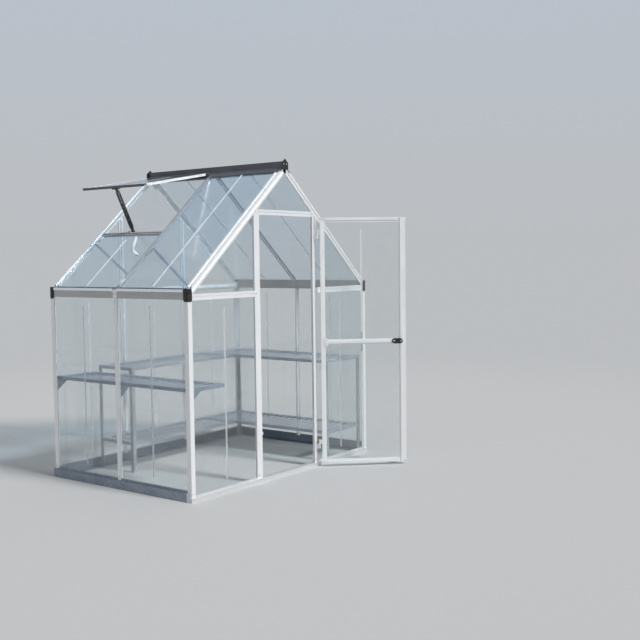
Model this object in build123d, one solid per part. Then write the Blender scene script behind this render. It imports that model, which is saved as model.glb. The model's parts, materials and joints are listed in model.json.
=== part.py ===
from build123d import *
from math import atan2, cos, degrees, hypot, pi, sin, tan
import os

os.makedirs("parts", exist_ok=True)

# Overall frame, millimetres: the ridge and eave heights are those of the roof's outer planes
frame_width = 1850.0
frame_depth = 1270.0
ridge_height = 2062.0
eave_height = 1262.0

# Extruded frame sections
flange = 2.0
seat_gap = 0.3
pane_thickness = 3.0
pane_slack = 2.0
section_depth = 24.0
core_width = 12.0
post_core = 20.0
post_face = 34.0
stud_face = 31.0
jamb_face = 33.0
rafter_face = 24.0
gable_rafter_face = 41.0
gable_rafter_core = 14.0
gable_rafter_seat = 29.0

# Base frame
base_overhang = 10.0
base_height = 57.0
base_flange = 45.0
base_sheet = 2.0
threshold_height = 28.0
pane_upstand = 13.0
anchor_inset = 20.0
anchor_spacing_y = 900.0
anchor_hole = 9.0

# Eave beam and ridge beam
eave_beam_drop = 50.0
gutter_lip_height = 4.0
gutter_lip_width = 8.0
gutter_depth = 28.0
eave_inner_wall = 30.0
eave_box_height = 20.0
pane_overhang = 9.0
ridge_cap_width = 72.0
ridge_seat_width = 44.0
ridge_core_width = 24.0
ridge_core_drop = 50.0
ridge_crown_width = 30.0
ridge_crown_rise = 24.0
ridge_web = 3.0

# Gable walls
jamb_centre = 305.0
header_drop = 316.0
header_face = 35.0
latch_strip_width = 22.0
gable_bar_drop = 36.0
gable_bar_face = 38.0

# Stiffening crease in each sheet
crease_width = 14.0
crease_height = 2.4
crease_margin = 58.0
crease_foot_margin = 14.0

# Door leaf
door_open_angle = 132.5
hinge_side_step = 8.0
hinge_stand_off = 27.0
leaf_width = 592.0
leaf_edge_gap = 17.0
leaf_thickness = 20.0
leaf_axis_depth = 12.0
leaf_bottom = 19.0
leaf_top_drop = 23.0
hinge_stile_face = 31.0
hinge_stile_core = 18.0
free_stile_face = 46.0
free_stile_core = 38.0
rail_face = 32.0
rail_core = 18.0
middle_rail_face = 36.0
middle_rail_height = 867.0
knuckle_radius = 6.0
knuckle_height = 30.0
pin_radius = 3.0
hinge_plate = 3.0
hinge_arm = 10.0
hinge_plate_inset = 5.0
upper_hinge_drop = 136.0
lower_hinge_height = 156.0
hinge_web_rise = 125.0
hinge_web_reach = 15.0
hinge_web_slot = 34.0
hinge_slot_margin = 3.0
handle_length = 74.0
handle_height = 36.0
handle_thickness = 10.0
handle_edge = 24.0
grip_reach = 30.0
grip_length = 90.0
grip_width = 16.0
stop_height = 317.0
stop_size = 14.0
stop_reach = 9.0

# Roof vent
vent_open_angle = 31.0
vent_pivot_run = 45.0
vent_pivot_rise = 12.0
vent_length = 612.0
vent_side_gap = 5.0
vent_face = 24.0
vent_frame_depth = 16.0
sill_run = 661.0
sill_face = 26.0
hook_radius = 6.5
bead_radius = 3.5
stay_width = 20.0
stay_bend = 28.0
stay_inset = 32.0
stay_tail = 60.0
stay_grip_drop = 85.0
stay_grip_sway = 42.0
stay_grip_hook = 60.0
stay_grip_fall = 28.0
stay_thickness = 8.0
stay_hole = 6.0
stay_hole_pitch = 52.0
stay_hole_count = 5

# Plastic caps
cap_wall = 3.0
cap_drop = 62.0
cap_rise = 15.0
cap_corner = 13.0
ridge_cap_plate = 5.0
ridge_plate_width = 64.0
ridge_plate_height = 70.0
ridge_plate_rise = 17.0

# Roof braces, flat strips under the sheets
brace_width = 15.0
brace_thickness = 2.0
brace_front_head = 144.0
brace_front_foot = 41.0
brace_rear_head = 84.0
brace_rear_foot = 151.0

# Staging
shelf_thickness = 22.0
shelf_sheet = 2.0
shelf_left_height = 680.0
shelf_left_depth = 290.0
shelf_upper_height = 722.0
shelf_lower_height = 212.0
shelf_right_depth = 410.0
shelf_rear_depth = 330.0
shelf_slot_pitch = 60.0
shelf_slot_width = 26.0
shelf_slot_margin = 30.0
bracket_reach = 90.0
bracket_drop = 80.0
leg_face = 24.0
leg_sheet = 2.0

# Values that follow from the driving dimensions
half_width = frame_width / 2
half_depth = frame_depth / 2
roof_angle = atan2(ridge_height - eave_height, half_width)
roof_cos = cos(roof_angle)
roof_sin = sin(roof_angle)
roof_tan = tan(roof_angle)
slope_length = hypot(half_width, ridge_height - eave_height)
groove = pane_thickness + 2 * seat_gap
inner_flange = flange + groove
pane_depth = flange + seat_gap
member_bottom = inner_flange + flange
eave_bottom = eave_height - eave_beam_drop
base_side_reach = half_width + base_overhang
hinge_x = jamb_centre + hinge_side_step
hinge_y = -half_depth - hinge_stand_off
header_centre = ridge_height - header_drop
gable_bar_centre = eave_height - gable_bar_drop
leaf_top = header_centre - leaf_top_drop
upper_hinge_height = header_centre - upper_hinge_drop
door_axis = Axis((hinge_x, hinge_y, 0), (0, 0, 1))


def block(x0, x1, y0, y1):
    """Flat rectangle between two corners of a section."""
    return Pos((x0 + x1) / 2, (y0 + y1) / 2) * Rectangle(x1 - x0, y1 - y0)


def box(x0, x1, y0, y1, z0, z1):
    """Solid between two corners."""
    return Pos((x0 + x1) / 2, (y0 + y1) / 2, (z0 + z1) / 2) * Box(x1 - x0, y1 - y0, z1 - z0)


def outline(points):
    """Flat face inside a closed line of corners."""
    return make_face(Polyline(*points, close=True))


def strip(points, wall):
    """Bent sheet in section: its middle line runs through the points, with mitred corners."""
    spots = [Vector(*point) for point in points]
    runs = [(b - a).normalized() for a, b in zip(spots, spots[1:])]
    sides = [Vector(-run.Y, run.X) for run in runs]
    shifts = [sides[0]]
    shifts += [(a + b) * (1 / (1 + a.dot(b))) for a, b in zip(sides, sides[1:])]
    shifts.append(sides[-1])
    left = [spot + shift * (wall / 2) for spot, shift in zip(spots, shifts)]
    right = [spot - shift * (wall / 2) for spot, shift in zip(spots, shifts)]
    return outline([(p.X, p.Y) for p in left + right[::-1]])


def stud_section(face):
    """I section with a hollow core: two pairs of lips hold a sheet on each side."""
    half_core = core_width / 2
    section = block(-half_core, half_core, 0, section_depth)
    section += block(-face / 2, face / 2, 0, flange)
    section += block(-face / 2, face / 2, inner_flange, member_bottom)
    hollow = block(-half_core + flange, half_core - flange, member_bottom, section_depth - flange)
    return section - hollow


def bar_section(face):
    """I section of a cross bar, with an open screw channel along its outer face."""
    half_slot = core_width / 2 - flange
    return stud_section(face) - block(-half_slot, half_slot, 0, inner_flange)


def corner_section(face):
    """Square tube with lips on two sides, for sheets that meet at a corner."""
    section = block(0, post_core, 0, post_core)
    section += block(post_core, face, 0, flange)
    section += block(post_core, face, inner_flange, member_bottom)
    section += block(0, flange, post_core, face)
    section += block(inner_flange, member_bottom, post_core, face)
    return section - block(flange, post_core - flange, flange, post_core - flange)


def gable_rafter_section():
    """Small tube at the corner of roof and gable, with an open channel and two lips on each side."""
    core = gable_rafter_core
    seat = gable_rafter_seat
    face = gable_rafter_face
    section = block(0, core, 0, core) - block(flange, core - flange, flange, core - flange)
    section += block(core, face, inner_flange, member_bottom)
    section += block(seat - flange, seat, 0, member_bottom)
    section += block(seat, face, 0, flange)
    section += block(inner_flange, member_bottom, core, face)
    section += block(0, member_bottom, seat - flange, seat)
    return section + block(0, flange, seat, face)


def eave_section():
    """Gutter over a box tube, with a groove below for the wall sheet."""
    middle = flange / 2
    floor = gutter_lip_height - gutter_depth
    leg = inner_flange + middle
    lip = [(middle, -eave_beam_drop), (middle, gutter_lip_height - middle)]
    lip += [(gutter_lip_width, gutter_lip_height - middle)]
    seat = (eave_inner_wall - middle) * roof_tan - inner_flange / roof_cos
    section = strip(lip, flange)
    section += strip([(middle, floor), (eave_inner_wall, floor)], flange)
    section += strip([(leg, -eave_beam_drop), (leg, floor)], flange)
    section += strip([(leg, floor - eave_box_height), (eave_inner_wall, floor - eave_box_height)], flange)
    section += strip([(eave_inner_wall, floor - eave_box_height - middle), (eave_inner_wall, seat)], flange)
    return section


def slope_point(run, depth):
    """Place in the right slope: run down from the apex, depth under the outer plane."""
    return (run * roof_cos - depth * roof_sin, -run * roof_sin - depth * roof_cos)


def mirrored(points):
    """The points in reverse order on the other side of the middle plane."""
    return [(-x, z) for x, z in points[::-1]]


def ridge_section():
    """Two folded wings that hold the sheets between them, over a keel and under a hollow crown."""
    middle = flange / 2
    cap = [slope_point(ridge_cap_width, middle)]
    seat = [slope_point(ridge_seat_width, inner_flange + middle)]
    half_core = ridge_core_width / 2 - middle
    seat_apex = -(inner_flange + middle) / roof_cos
    keel = [(half_core, seat_apex - half_core * roof_tan), (half_core, middle - ridge_core_drop)]
    half_crown = ridge_crown_width / 2 - middle
    crown = [(half_crown, -half_crown * roof_tan - middle), (half_crown, ridge_crown_rise - middle)]
    section = strip(cap + [(0, -middle / roof_cos)] + mirrored(cap), flange)
    section += strip(seat + [(0, seat_apex)] + mirrored(seat), flange)
    section += strip([(0, -middle / roof_cos), (0, seat_apex)], ridge_web)
    section += strip(keel + mirrored(keel), flange)
    return section + strip(crown + mirrored(crown), flange)


def at_roof(x, z):
    """Place in the cross plane, with z counted from the apex."""
    return (x, ridge_height + z)


def prism_y(points, y0, y1):
    """Outline in the cross plane, extruded from y0 to y1."""
    plane = Plane(origin=(0, y0, 0), x_dir=(-1, 0, 0), z_dir=(0, 1, 0))
    return extrude(plane * outline([(-x, z) for x, z in points]), amount=y1 - y0)


def upright(section, x, y, z0, z1, across):
    """Vertical member, its section's first axis along the given direction."""
    plane = Plane(origin=(x, y, z0), x_dir=across, z_dir=(0, 0, 1))
    return extrude(plane * section, amount=z1 - z0)


def sloping(section, y):
    """Member along the right slope, longer than needed at both ends."""
    spare = 100.0
    run = slope_length + spare
    x, z = at_roof(run * roof_cos, -run * roof_sin)
    plane = Plane(origin=(x, y, z), x_dir=(0, 1, 0), z_dir=(-roof_cos, 0, roof_sin))
    return extrude(plane * section, amount=run + spare)


def left_of(part):
    """The same piece on the left side."""
    return mirror(part, about=Plane.YZ)


def behind(part):
    """The same piece on the rear side."""
    return mirror(part, about=Plane.XZ)


def pair(part):
    """The piece and its copy on the left side."""
    return [part, left_of(part)]


def rafter_space(eave_x):
    """Room between the ridge beam and the eave, which cuts the ends of a rafter."""
    low = eave_height - section_depth * 10
    core_x = ridge_core_width / 2 + seat_gap
    under = member_bottom + seat_gap
    start = ridge_cap_width + seat_gap
    high = (eave_x, eave_height + (half_width - eave_x) * roof_tan + section_depth)
    points = [at_roof(core_x, -core_x * roof_tan - under / roof_cos)]
    points += [at_roof(*slope_point(start, under)), at_roof(*slope_point(start, -section_depth))]
    points += [high, (eave_x, low), (core_x, low)]
    return prism_y(points, -half_depth, half_depth)


def under_rafter(depth):
    """Everything inside the gable wall below the rafters, down to the floor."""
    spread = half_width
    side = ridge_height - spread * roof_tan - depth / roof_cos
    points = [(0, ridge_height - depth / roof_cos), (-spread, side), (-spread, 0)]
    points += [(spread, 0), (spread, side)]
    return prism_y(points, -half_depth, half_depth)


# Base frame of folded steel, with a low threshold at the front
def base_section():
    middle = base_sheet / 2
    foot = [(base_flange - base_overhang, middle), (middle - base_overhang, middle)]
    foot += [(middle - base_overhang, base_height - middle)]
    foot += [(member_bottom, base_height - middle)]
    return strip(foot, base_sheet) + upstands(base_height)


def upstands(level):
    """Two low walls that hold the bottom edge of a sheet."""
    outer = block(0, flange, level - flange, level + pane_upstand)
    inner = block(inner_flange, member_bottom, level - flange, level + pane_upstand)
    return outer + inner


def threshold_section():
    """Low box rail that a person steps over."""
    rail = block(-base_overhang, post_face, 0, threshold_height)
    hollow = block(
        base_sheet - base_overhang, post_face - base_sheet, base_sheet, threshold_height - base_sheet
    )
    return rail - hollow + upstands(threshold_height)


def notch_side(y, half, level):
    """Gap in the upstands of a side wall where an upright stands."""
    inner = half_width - member_bottom - seat_gap
    return box(inner, half_width, y - half, y + half, level, level + pane_upstand)


def notch_end(x0, x1, level):
    """Gap in the upstands of a front or rear wall."""
    return box(x0, x1, -half_depth, -half_depth + member_bottom + seat_gap, level, level + pane_upstand)


def base_side():
    side_plane = Plane(origin=(half_width, post_face - half_depth, 0), x_dir=(-1, 0, 0), z_dir=(0, 1, 0))
    length = frame_depth - post_face - base_flange + base_overhang
    rail = extrude(side_plane * base_section(), amount=length)
    rail -= notch_side(0, stud_face / 2 + seat_gap, base_height)
    for y in (-anchor_spacing_y / 2, anchor_spacing_y / 2):
        rail -= Pos(half_width - anchor_inset, y, base_sheet) * Cylinder(anchor_hole / 2, 3 * base_sheet)
    return rail


def end_plane():
    """Section plane of a rail along the front wall: first axis inwards, second axis up."""
    return Plane(origin=(base_side_reach, -half_depth, 0), x_dir=(0, 1, 0), z_dir=(1, 0, 0))


def end_plate(level, reach):
    """Plate that closes the right end of a front or rear rail."""
    x0 = base_side_reach - base_sheet
    return box(x0, base_side_reach, -half_depth - base_overhang, reach - half_depth, 0, level)


def base_end(section, level, reach, gaps):
    rail = extrude(end_plane() * section, amount=-2 * base_side_reach)
    rail += pair(end_plate(level, reach))
    corner = half_width - post_face - seat_gap
    for x0, x1 in [(-base_side_reach, -corner), (corner, base_side_reach)] + gaps:
        rail -= notch_end(x0, x1, level)
    return rail


# Uprights and beams
def corner_post(bottom):
    top = eave_height - flange
    return upright(corner_section(post_face), half_width, -half_depth, bottom, top, (0, 1, 0))


def wall_stud():
    return upright(stud_section(stud_face), half_width, 0, base_height, eave_bottom, (0, 1, 0))


def eave_beam():
    start = (half_width, post_face - half_depth, eave_height)
    plane = Plane(origin=start, x_dir=(-1, 0, 0), z_dir=(0, 1, 0))
    return extrude(plane * eave_section(), amount=frame_depth - 2 * post_face)


def ridge_beam():
    plane = Plane(origin=(0, -half_depth, ridge_height), x_dir=(-1, 0, 0), z_dir=(0, 1, 0))
    return extrude(plane * ridge_section(), amount=frame_depth)


def gable_rafter():
    rafter = sloping(gable_rafter_section(), -half_depth)
    return rafter & rafter_space(half_width - post_face - seat_gap)


def middle_rafter():
    rafter = sloping(stud_section(rafter_face), 0)
    return rafter & rafter_space(half_width - eave_inner_wall - flange / 2 - seat_gap)


def gable_upright(x, bottom):
    """Jamb or stud in a gable wall, cut along the underside of the rafter."""
    post = upright(stud_section(jamb_face), x, -half_depth, bottom, ridge_height, (1, 0, 0))
    return post & under_rafter(gable_rafter_face + seat_gap)


def gable_bar(x0, x1, z, face):
    """Horizontal bar in the front wall, with grooves above and below."""
    plane = Plane(origin=(x0, -half_depth, z), x_dir=(0, 0, -1), z_dir=(1, 0, 0))
    bar = extrude(plane * bar_section(face), amount=x1 - x0)
    return bar & under_rafter(gable_rafter_face + seat_gap)


# Sheets
def sheet_y(x0, x1, z0, z1):
    """Flat sheet in the front wall."""
    return box(x0, x1, pane_depth - half_depth, pane_depth + pane_thickness - half_depth, z0, z1)


def creased(sheet, plane, length):
    """Fold a shallow crease along the middle of a sheet: the plane's normal points outwards."""
    half = crease_width / 2
    ridge_line = [(-half, 0), (half, 0), (0, crease_height)]
    start = Plane(origin=plane.origin - plane.y_dir * (length / 2), x_dir=plane.x_dir, z_dir=-plane.y_dir)
    fold = extrude(start * outline([(x, y) for x, y in ridge_line]), amount=-length)
    hollow = Pos(*(plane.z_dir * -pane_thickness)) * fold
    return sheet - hollow + fold


def side_sheet(y0, y1):
    """Creased sheet in one bay of the right wall."""
    z0 = base_height + seat_gap
    z1 = eave_bottom + pane_upstand + pane_slack
    outer = half_width - pane_depth
    sheet = box(outer - pane_thickness, outer, y0, y1, z0, z1)
    plane = Plane(origin=(outer, (y0 + y1) / 2, (z0 + z1) / 2), x_dir=(0, -1, 0), z_dir=(1, 0, 0))
    return creased(sheet, plane, z1 - z0 - 2 * crease_margin)


def front_sheet(x0, x1, z0, z1):
    """Creased sheet below the eave bar of the front wall."""
    sheet = sheet_y(x0, x1, z0, z1)
    middle = ((x0 + x1) / 2, pane_depth - half_depth, (z0 + z1) / 2)
    plane = Plane(origin=middle, x_dir=(1, 0, 0), z_dir=(0, -1, 0))
    return creased(sheet, plane, z1 - z0 - 2 * crease_margin)


def gable_sheet(x0, x1, z0):
    """Sheet above a bar, cut along the slope of the roof."""
    half = ridge_core_width / 2 + pane_slack
    keel = sheet_y(-half, half, ridge_height - ridge_core_drop - pane_slack, ridge_height)
    return (sheet_y(x0, x1, z0, ridge_height) & under_rafter(gable_rafter_seat + pane_slack)) - keel


def roof_plane(run, y):
    """Plane in the right slope at the outer face of the sheets, second axis down the slope."""
    x, z = at_roof(*slope_point(run, pane_depth))
    return Plane(origin=(x, y, z), x_dir=(0, 1, 0), z_dir=(roof_sin, 0, roof_cos))


def roof_sheet(run0, run1, y0, y1):
    """Creased sheet in one bay of the right slope."""
    plane = roof_plane((run0 + run1) / 2, (y0 + y1) / 2)
    body = extrude(plane * Rectangle(y1 - y0, run1 - run0), amount=-pane_thickness)
    fold_plane = roof_plane((run0 + run1 + crease_margin - crease_foot_margin) / 2, (y0 + y1) / 2)
    return creased(body, fold_plane, run1 - run0 - crease_margin - crease_foot_margin)


# Roof vent, modelled shut in the right slope's own frame, then opened and mirrored to the left
slope_plane = Plane(
    origin=(0, 0, ridge_height), x_dir=(roof_cos, 0, -roof_sin), z_dir=(roof_sin, 0, roof_cos)
)
vent_axis = Axis((vent_pivot_run, 0, vent_pivot_rise), (0, 1, 0))
vent_y0 = core_width / 2 + vent_side_gap
vent_y1 = half_depth - post_core + vent_side_gap
vent_start = vent_pivot_run + hook_radius - flange / 2
vent_end = vent_pivot_run + vent_length


def vent_section():
    """Edge frame of the vent: a skirt with two lips that hold the sheet."""
    section = block(0, flange, 0, vent_frame_depth)
    section += block(0, vent_face, vent_frame_depth - flange, vent_frame_depth)
    lip = vent_frame_depth - member_bottom
    return section + block(0, vent_face, lip, lip + flange)


def on_left_slope(part):
    """Move a piece from the slope's own frame to the left slope."""
    return left_of(slope_plane * part)


def opened(part):
    """Turn a piece of the vent up about its pivot and put it on the left slope."""
    return on_left_slope(part.rotate(vent_axis, -vent_open_angle))


def vent_stiles():
    """Two side bars between the rails of the vent."""
    start = Plane(origin=(vent_start + vent_face, vent_y0, seat_gap), x_dir=(0, 1, 0), z_dir=(1, 0, 0))
    stile = extrude(start * vent_section(), amount=vent_end - vent_start - 2 * vent_face)
    middle = Plane(origin=(0, (vent_y0 + vent_y1) / 2, 0), z_dir=(0, 1, 0))
    return [opened(stile), opened(mirror(stile, about=middle))]


def vent_hook():
    """Open ring along the top rail that turns on the bead of the ridge."""
    ring = Circle(hook_radius) - Circle(bead_radius + seat_gap)
    mouth = outline([(0, 0), (-2 * hook_radius, -hook_radius), (-hook_radius, -2 * hook_radius),
                     (hook_radius, -2 * hook_radius)])
    plane = Plane(origin=(vent_pivot_run, vent_y1, vent_pivot_rise), x_dir=(1, 0, 0), z_dir=(0, -1, 0))
    return extrude(plane * (ring - mouth), amount=vent_y1 - vent_y0)


def vent_rails():
    """Top rail with its hook, and bottom rail."""
    length = vent_y1 - vent_y0
    low = Plane(origin=(vent_end, vent_y0, seat_gap), x_dir=(-1, 0, 0), z_dir=(0, 1, 0))
    high = Plane(origin=(vent_start, vent_y1, seat_gap), x_dir=(1, 0, 0), z_dir=(0, -1, 0))
    top_rail = extrude(high * vent_section(), amount=length) + vent_hook()
    return [opened(top_rail), opened(extrude(low * vent_section(), amount=length))]


def vent_sheet():
    """Creased sheet of the vent."""
    top = seat_gap + vent_frame_depth - pane_depth
    inset = flange + seat_gap
    x0 = vent_start + inset
    x1 = vent_end - inset
    y0 = vent_y0 + inset
    y1 = vent_y1 - inset
    sheet = box(x0, x1, y0, y1, top - pane_thickness, top)
    plane = Plane(origin=((x0 + x1) / 2, (y0 + y1) / 2, top), x_dir=(0, -1, 0), z_dir=(0, 0, 1))
    return opened(creased(sheet, plane, x1 - x0 - 2 * crease_margin))


def ridge_bead():
    """Round bead on a stem, on the ridge's lower edge, that carries the vent."""
    y0 = vent_y0 + seat_gap
    y1 = vent_y1 - seat_gap
    half = flange / 2
    stem = box(vent_pivot_run - half, vent_pivot_run + half, y0, y1, -flange, vent_pivot_rise)
    bead = Cylinder(bead_radius, y1 - y0, rotation=(90, 0, 0))
    bead = Pos(vent_pivot_run, (y0 + y1) / 2, vent_pivot_rise) * bead
    return on_left_slope(stem + bead)


def bay_bar(run, y0, y1, face):
    """Cross bar between two rafters of the right slope, in its own frame."""
    plane = Plane(origin=(run, y0, 0), x_dir=(1, 0, 0), z_dir=(0, 1, 0))
    return extrude(plane * bar_section(face), amount=y1 - y0)


def vent_turned(x, z):
    """Place in the slope's own frame of a point of the vent after it opens."""
    turn = -vent_open_angle * pi / 180
    dx = x - vent_pivot_run
    dz = z - vent_pivot_rise
    return Vector(
        vent_pivot_run + dx * cos(turn) + dz * sin(turn), vent_pivot_rise - dx * sin(turn) + dz * cos(turn)
    )


stay_y = (vent_y0 + vent_y1) / 2
stay_head = vent_turned(vent_end - stay_inset, -stay_width / 2)
stay_foot = Vector(sill_run - sill_face / 2 - stay_width, 0)
stay_lean = (stay_foot - stay_head).normalized()


def in_slope(out, up):
    """Level and upright shift, as a shift in the slope's own frame."""
    return Vector(out * roof_cos - up * roof_sin, out * roof_sin + up * roof_cos)


def vent_stay():
    """Flat bar with a row of peg holes and an S-shaped grip that hangs inside the roof."""
    knee = stay_foot + stay_lean * stay_tail
    hook = knee + in_slope(stay_grip_sway, -stay_grip_drop)
    tip = hook + in_slope(-stay_grip_hook, -stay_grip_fall)
    path = FilletPolyline(*[(p.X, p.Y) for p in (stay_head, knee, hook, tip)], radius=stay_bend)
    face = trace(path, stay_width)
    plane = Plane(origin=(0, stay_y + stay_thickness / 2, 0), x_dir=(1, 0, 0), z_dir=(0, -1, 0))
    bar = extrude(plane * face, amount=stay_thickness)
    for step in range(stay_hole_count):
        spot = stay_foot - stay_lean * (step * stay_hole_pitch)
        hole = Cylinder(stay_hole / 2, 2 * stay_thickness, rotation=(90, 0, 0))
        bar -= Pos(spot.X, stay_y, spot.Y) * hole
    return on_left_slope(bar)


def stay_peg():
    """Bracket on the sill with the peg that holds the stay."""
    side = stay_y + stay_thickness / 2 + seat_gap
    x0 = stay_foot.X - stay_width / 2
    x1 = sill_run - sill_face / 2 + flange
    plate = box(x0, x1, side, side + hinge_plate, -stay_width / 2, stay_width / 2)
    foot = box(sill_run - sill_face / 2, x1, side, side + stay_width, 0, stay_width / 2)
    peg_length = stay_thickness + 2 * hinge_plate
    peg = Pos(stay_foot.X, side - peg_length / 2 + flange, 0) * Cylinder(
        stay_hole / 2 - seat_gap, peg_length, rotation=(90, 0, 0)
    )
    return plate + foot + peg


def vent_sill():
    """Bar at the lower edge of the vent opening, with the stay's peg."""
    bar = bay_bar(sill_run, rafter_face / 2, half_depth - gable_rafter_face, sill_face)
    return on_left_slope(bar + stay_peg())


# Plastic caps
def eave_cap():
    """Cap over the top of a corner post, closing the end of the gutter."""
    low = eave_height - cap_drop
    high = eave_height + cap_rise
    outer_x = half_width + cap_wall
    outer_y = -half_depth - cap_wall
    wrap = box(half_width - post_face, outer_x, outer_y, post_face - half_depth, low, high)
    wrap -= box(0, half_width + seat_gap, -half_depth - seat_gap, 0, low, high)
    level = eave_height - flange + seat_gap
    lid = box(half_width - post_core, outer_x, outer_y, post_core - half_depth, level, high)
    cap = wrap + lid
    rear_end = post_face - half_depth - cap_wall
    side_end = half_width - post_face + cap_wall
    wing_ends = [edge for edge in cap.edges().filter_by(Axis.X) if edge.center().Y > rear_end]
    wing_ends += [edge for edge in cap.edges().filter_by(Axis.Y) if edge.center().X < side_end]
    cap = fillet(wing_ends, cap_corner)
    corner = cap.edges().filter_by(Axis.Z).sort_by(lambda e: e.center().X - e.center().Y)[-1]
    return fillet(corner, cap_wall)


def ridge_plate():
    """Cover over the front end of the ridge beam."""
    half = ridge_plate_width / 2
    top = ridge_height + ridge_crown_rise + ridge_plate_rise
    low = top - ridge_plate_height
    shoulder = top - half * roof_tan
    face = outline([(-half, low), (half, low), (half, shoulder), (0, top), (-half, shoulder)])
    face = fillet(face.vertices(), ridge_cap_plate)
    plane = Plane(origin=(0, -half_depth - seat_gap, 0), x_dir=(1, 0, 0), z_dir=(0, -1, 0))
    return extrude(plane * face, amount=ridge_cap_plate)


def brace(run0, y0, run1, y1):
    """Flat strip under the sheets between two rafters of the right slope."""
    skew = brace_width / 2 * hypot(run1 - run0, y1 - y0) / abs(y1 - y0)
    corners = [(run0 - skew, y0), (run0 + skew, y0), (run1 + skew, y1), (run1 - skew, y1)]
    level = -member_bottom - seat_gap
    return slope_plane * (Pos(0, 0, level) * extrude(outline(corners), amount=-brace_thickness))


# Door leaf, modelled shut, then turned to its open angle
leaf_hinge_edge = hinge_x - leaf_edge_gap
leaf_free_edge = leaf_hinge_edge - leaf_width
leaf_inner = hinge_y + leaf_axis_depth
leaf_outer = leaf_inner - leaf_thickness
lip_depth = (leaf_thickness - groove) / 2 - flange


def leaf_lips(a0, a1):
    """Two lips at the middle of the leaf's thickness that hold a sheet."""
    far = lip_depth + flange + groove
    return block(a0, a1, lip_depth, lip_depth + flange) + block(a0, a1, far, far + flange)


def leaf_section(face, core):
    """Edge section of the leaf: a box tube with two lips."""
    tube = block(0, core, 0, leaf_thickness) - block(flange, core - flange, flange, leaf_thickness - flange)
    return tube + leaf_lips(core, face)


def leaf_middle_section():
    """Cross rail of the leaf, with lips on both sides."""
    half = rail_core / 2
    tube = block(-half, half, 0, leaf_thickness)
    tube -= block(flange - half, half - flange, flange, leaf_thickness - flange)
    half_face = middle_rail_face / 2
    return tube + leaf_lips(half, half_face) + leaf_lips(-half_face, -half)


def swung(part):
    """Turn a piece of the shut door to its open angle."""
    return part.rotate(door_axis, door_open_angle)


def door_stiles():
    """Upright bars at the hinge edge and the free edge."""
    height = leaf_top - leaf_bottom
    hinge_side = Plane(origin=(leaf_hinge_edge, leaf_inner, leaf_bottom), x_dir=(-1, 0, 0), z_dir=(0, 0, 1))
    free_side = Plane(origin=(leaf_free_edge, leaf_outer, leaf_bottom), x_dir=(1, 0, 0), z_dir=(0, 0, 1))
    sections = [hinge_side * leaf_section(hinge_stile_face, hinge_stile_core)]
    sections += [free_side * leaf_section(free_stile_face, free_stile_core)]
    return [swung(extrude(section, amount=height)) for section in sections]


def door_rails():
    """Bottom, middle and top rails between the stiles."""
    x0 = leaf_free_edge + free_stile_face
    x1 = leaf_hinge_edge - hinge_stile_face
    edge = leaf_section(rail_face, rail_core)
    low = Plane(origin=(x0, leaf_inner, leaf_bottom), x_dir=(0, 0, 1), z_dir=(1, 0, 0))
    mid = Plane(origin=(x0, leaf_inner, middle_rail_height), x_dir=(0, 0, 1), z_dir=(1, 0, 0))
    high = Plane(origin=(x1, leaf_inner, leaf_top), x_dir=(0, 0, -1), z_dir=(-1, 0, 0))
    rails = [low * edge, mid * leaf_middle_section(), high * edge]
    return [swung(extrude(rail, amount=x1 - x0)) for rail in rails]


def door_sheets():
    """Creased sheets above and below the middle rail."""
    x0 = leaf_free_edge + free_stile_core + pane_slack
    x1 = leaf_hinge_edge - hinge_stile_core - pane_slack
    y1 = leaf_inner - lip_depth - flange - seat_gap
    reach = rail_core + pane_slack
    half = rail_core / 2 + pane_slack
    spans = [(leaf_bottom + reach, middle_rail_height - half)]
    spans += [(middle_rail_height + half, leaf_top - reach)]
    sheets = []
    for z0, z1 in spans:
        sheet = box(x0, x1, y1 - pane_thickness, y1, z0, z1)
        plane = Plane(
            origin=((x0 + x1) / 2, y1 - pane_thickness, (z0 + z1) / 2), x_dir=(1, 0, 0), z_dir=(0, -1, 0)
        )
        sheets.append(swung(creased(sheet, plane, z1 - z0 - 2 * crease_margin)))
    return sheets


def door_handle():
    """Turning latch: a rounded plate on the inner face and a bowed grip on the outer face."""
    x0 = leaf_free_edge + handle_edge
    centre = x0 + handle_length / 2
    plate = SlotOverall(handle_length, handle_height)
    inner = Plane(origin=(centre, leaf_inner, middle_rail_height), x_dir=(-1, 0, 0), z_dir=(0, 1, 0))
    outer = Plane(origin=(centre, leaf_outer, middle_rail_height), x_dir=(1, 0, 0), z_dir=(0, -1, 0))
    back = extrude(inner * plate, amount=handle_thickness)
    rose = extrude(outer * plate, amount=hinge_plate)
    reach = grip_reach
    half = grip_length / 2
    bow = FilletPolyline((-half, 0), (-half, reach), (half, reach), (half, 0), radius=grip_width)
    face = trace(bow, handle_thickness)
    grip_top = middle_rail_height + grip_width / 2
    side = Plane(origin=(centre, leaf_outer, grip_top), x_dir=(1, 0, 0), z_dir=(0, 0, -1))
    grip = extrude(side * face, amount=grip_width)
    return [swung(back), swung(rose + grip)]


def jamb_hinge(z):
    """Fixed half: a plate on the jamb, an arm, a knuckle and its pin."""
    low = z - knuckle_height
    x0 = leaf_hinge_edge + hinge_plate_inset
    plate = box(x0, jamb_centre + jamb_face / 2, -half_depth - hinge_plate, -half_depth, low, z)
    arm = box(hinge_x - hinge_arm / 2, hinge_x + hinge_arm / 2, hinge_y, -half_depth, low, z)
    knuckle = Pos(hinge_x, hinge_y, z - knuckle_height / 2) * Cylinder(knuckle_radius, knuckle_height)
    pin_height = knuckle_height + 2 * pin_radius
    pin = Pos(hinge_x, hinge_y, z + pin_height / 2) * Cylinder(pin_radius, pin_height)
    return plate + arm + knuckle + pin


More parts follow.
